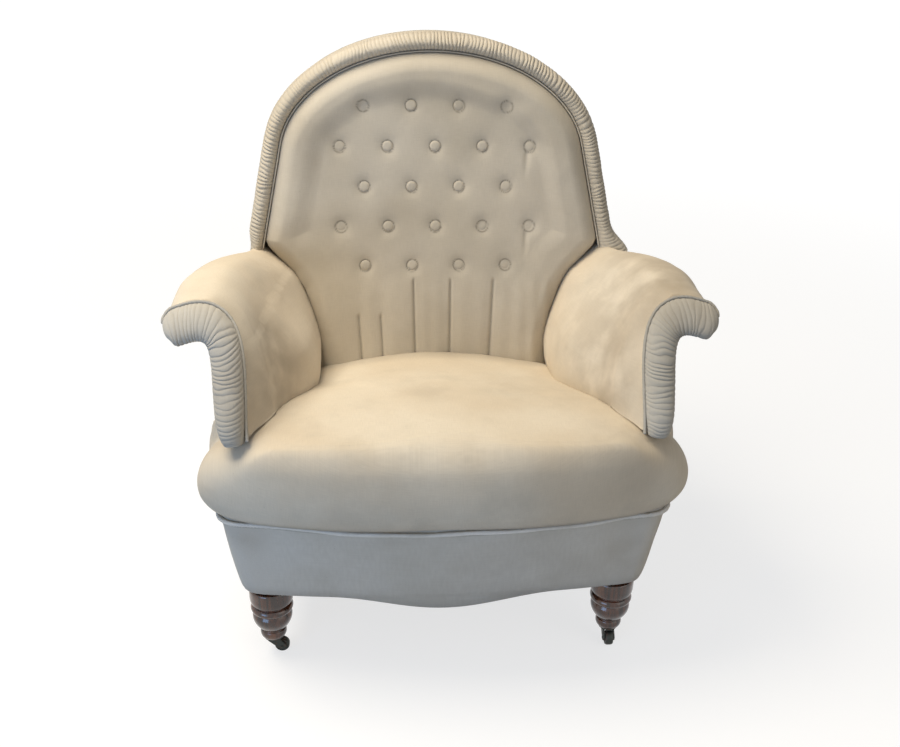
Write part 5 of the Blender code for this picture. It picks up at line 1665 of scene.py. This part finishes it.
@dataclass
class Studio:
    """The pale floor, the lamps, the world and the photograph's camera."""

    eye: tuple = (-0.0999636, -1.5192637 + PLAN_SHIFT, 1.1229469)
    yaw: float = 0.0785398
    pitch: float = 0.4529387
    roll: float = 0.0192614
    focal_pixels: float = 1050.0
    frame_pixels: float = 900.0
    sky: float = 0.25
    floor_grey: tuple = (0.36, 0.36, 0.36, 1.0)

    def camera(self) -> None:
        """Set the camera where the photograph was taken."""
        yaw, pitch, roll = self.yaw, self.pitch, self.roll
        level = math.cos(pitch)
        ahead = Vector((math.sin(yaw) * level, math.cos(yaw) * level, -math.sin(pitch)))
        right = Vector((math.cos(yaw), -math.sin(yaw), 0.0))
        up = right.cross(ahead)
        across = math.cos(roll) * right + math.sin(roll) * up
        rise = -math.sin(roll) * right + math.cos(roll) * up
        data = bpy.data.cameras.new("photo_camera")
        data.sensor_width = 36.0
        data.lens = 36.0 * self.focal_pixels / self.frame_pixels
        camera = bpy.data.objects.new("photo_camera", data)
        turn = Matrix((across, rise, -ahead)).transposed().to_4x4()
        camera.matrix_world = Matrix.Translation(self.eye) @ turn
        bpy.context.scene.collection.objects.link(camera)
        bpy.context.scene.camera = camera

    def lamp(
        self, name: str, place: tuple, aim: tuple, size: float, power: float, colour: tuple
    ) -> None:
        """Hang a square soft lamp.

        Args:
            name: Its name.
            place: Where it hangs.
            aim: The point that it faces.
            size: Its side.
            power: Its power in watts.
            colour: Its colour.
        """
        data = bpy.data.lights.new(name, "AREA")
        data.size = size
        data.energy = power
        data.color = colour
        lamp = bpy.data.objects.new(name, data)
        turn = (Vector(place) - Vector(aim)).to_track_quat("Z", "Y").to_matrix().to_4x4()
        lamp.matrix_world = Matrix.Translation(place) @ turn
        bpy.context.scene.collection.objects.link(lamp)

    def world(self) -> None:
        """Light softly from all round and show plain white behind."""
        world = bpy.data.worlds.new("studio")
        world.use_nodes = True
        graph = Graph(world.node_tree)
        graph.tree.nodes.clear()
        background = "ShaderNodeBackground"
        soft = graph.node(background, Color=(0.95, 0.97, 1.0, 1.0), Strength=self.sky)
        white = graph.node(background, Color=WHITE, Strength=1.0)
        blend = graph.node("ShaderNodeMixShader", _0=graph.seen(), _1=soft, _2=white)
        graph.node("ShaderNodeOutputWorld", Surface=blend)
        bpy.context.scene.world = world

    def floor(self) -> None:
        """Lay the pale floor, which keeps the chair's shadow."""
        shape = Shape("floor")
        bmesh.ops.create_grid(shape.work, x_segments=1, y_segments=1, size=30.0)
        floor = shape.object()
        material = bpy.data.materials.new("pale_floor")
        material.use_nodes = True
        graph = Graph(material.node_tree)
        graph.tree.nodes.clear()
        spots = graph.node("ShaderNodeTexCoord", "Object")
        reach = graph.node("ShaderNodeVectorMath", "Value", {"operation": "LENGTH"}, _0=spots)
        fade = {"From Min": 0.5, "From Max": 4.0, "To Min": 0.70, "To Max": 0.94}
        away = graph.node("ShaderNodeMapRange", "Result", SMOOTH, Value=reach, **fade)
        plain = graph.node("ShaderNodeBsdfDiffuse", Color=self.floor_grey)
        glow = graph.node("ShaderNodeEmission", Color=WHITE, Strength=graph.seen() * away)
        total = graph.node("ShaderNodeAddShader", _0=plain, _1=glow)
        graph.node("ShaderNodeOutputMaterial", Surface=total)
        floor.data.materials.append(material)

    def build(self) -> None:
        """Set up the whole stage."""
        self.camera()
        self.lamp("key", (-1.0, 0.02, 2.45), (0.0, 0.0, 0.42), 1.3, 58.0, (1.0, 0.90, 0.74))
        self.lamp("right", (1.9, -1.7, 1.3), (0.0, 0.0, 0.4), 1.8, 8.0, (1.0, 0.93, 0.82))
        self.lamp("low", (-1.6, -2.1, 0.45), (0.0, 0.0, 0.25), 1.2, 21.0, (0.34, 0.59, 1.0))
        self.world()
        self.floor()
        bpy.context.scene.view_settings.view_transform = "Standard"


def main() -> None:
    """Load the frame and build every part."""
    logging.basicConfig(level=logging.INFO, format="%(name)s: %(message)s")
    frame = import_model()
    Studio().build()
    back_cloth = Calico(
        "calico_back",
        tone=(0.540, 0.480, 0.380),
        pale=(0.625, 0.565, 0.465),
        stains=(
            (-0.20, 0.19, 0.70, 0.10, 0.20),
            (0.16, 0.17, 0.62, 0.12, 0.16),
            (-0.08, 0.16, 0.60, 0.12, 0.14),
        ),
    ).material()
    plain_cloth = Calico("calico_outside", wear=0.8).material()
    seat_cloth = Calico(
        "calico_seat",
        stains=(
            (-0.02, -0.13, 0.41, 0.07, 0.22),
            (0.16, -0.10, 0.40, 0.15, 0.20),
            (0.24, -0.26, 0.37, 0.10, 0.30),
            (-0.10, -0.31, 0.31, 0.12, 0.18),
            (0.08, -0.32, 0.30, 0.12, 0.16),
        ),
    ).material()
    apron_cloth = Calico(
        "calico_apron",
        tone=(0.600, 0.560, 0.480),
        pale=(0.680, 0.645, 0.575),
        stains=(
            (-0.28, -0.25, 0.25, 0.05, 0.22),
            (0.10, -0.27, 0.15, 0.16, 0.22),
            (0.27, -0.24, 0.20, 0.12, 0.20),
        ),
    ).material()
    left_cloth = Calico(
        "calico_left_arm",
        stains=(
            (-0.25, -0.10, 0.46, 0.11, 0.62),
            (-0.24, -0.17, 0.42, 0.13, 0.50),
            (-0.31, -0.13, 0.53, 0.06, 0.18),
        ),
    ).material()
    right_cloth = Calico(
        "calico_right_arm",
        stains=(
            (0.34, -0.08, 0.55, 0.15, 0.62),
            (0.32, 0.05, 0.55, 0.13, 0.34),
            (0.24, -0.02, 0.46, 0.16, 0.34),
            (0.25, -0.15, 0.43, 0.15, 0.58),
        ),
    ).material()
    # Painted shade: the facing's cloth is a darker, greyer copy of the calico, with dark patches
    # at the scrolls for the shade on them.
    shaded_facing_cloth = Calico(
        "calico_facing",
        tone=(0.440, 0.415, 0.360),
        pale=(0.520, 0.495, 0.440),
        stains=((0.34, -0.20, 0.54, 0.09, 0.45), (-0.30, -0.24, 0.47, 0.08, 0.35)),
    ).material()
    Back().build(back_cloth, plain_cloth)
    Arm(Side.LEFT).build(left_cloth, shaded_facing_cloth)
    Arm(Side.RIGHT).build(right_cloth, shaded_facing_cloth)
    # Painted light: the piping's calico is made far paler than the other cloths so the cord reads
    # bright in the shade under the seat.
    paled_cord_cloth = Calico("calico_cord", tone=(0.80, 0.76, 0.68), pale=(0.86, 0.82, 0.75)).material()
    Seat().build(seat_cloth, apron_cloth, paled_cord_cloth)
    Underparts().build(frame)


if __name__ == "__main__":
    main()
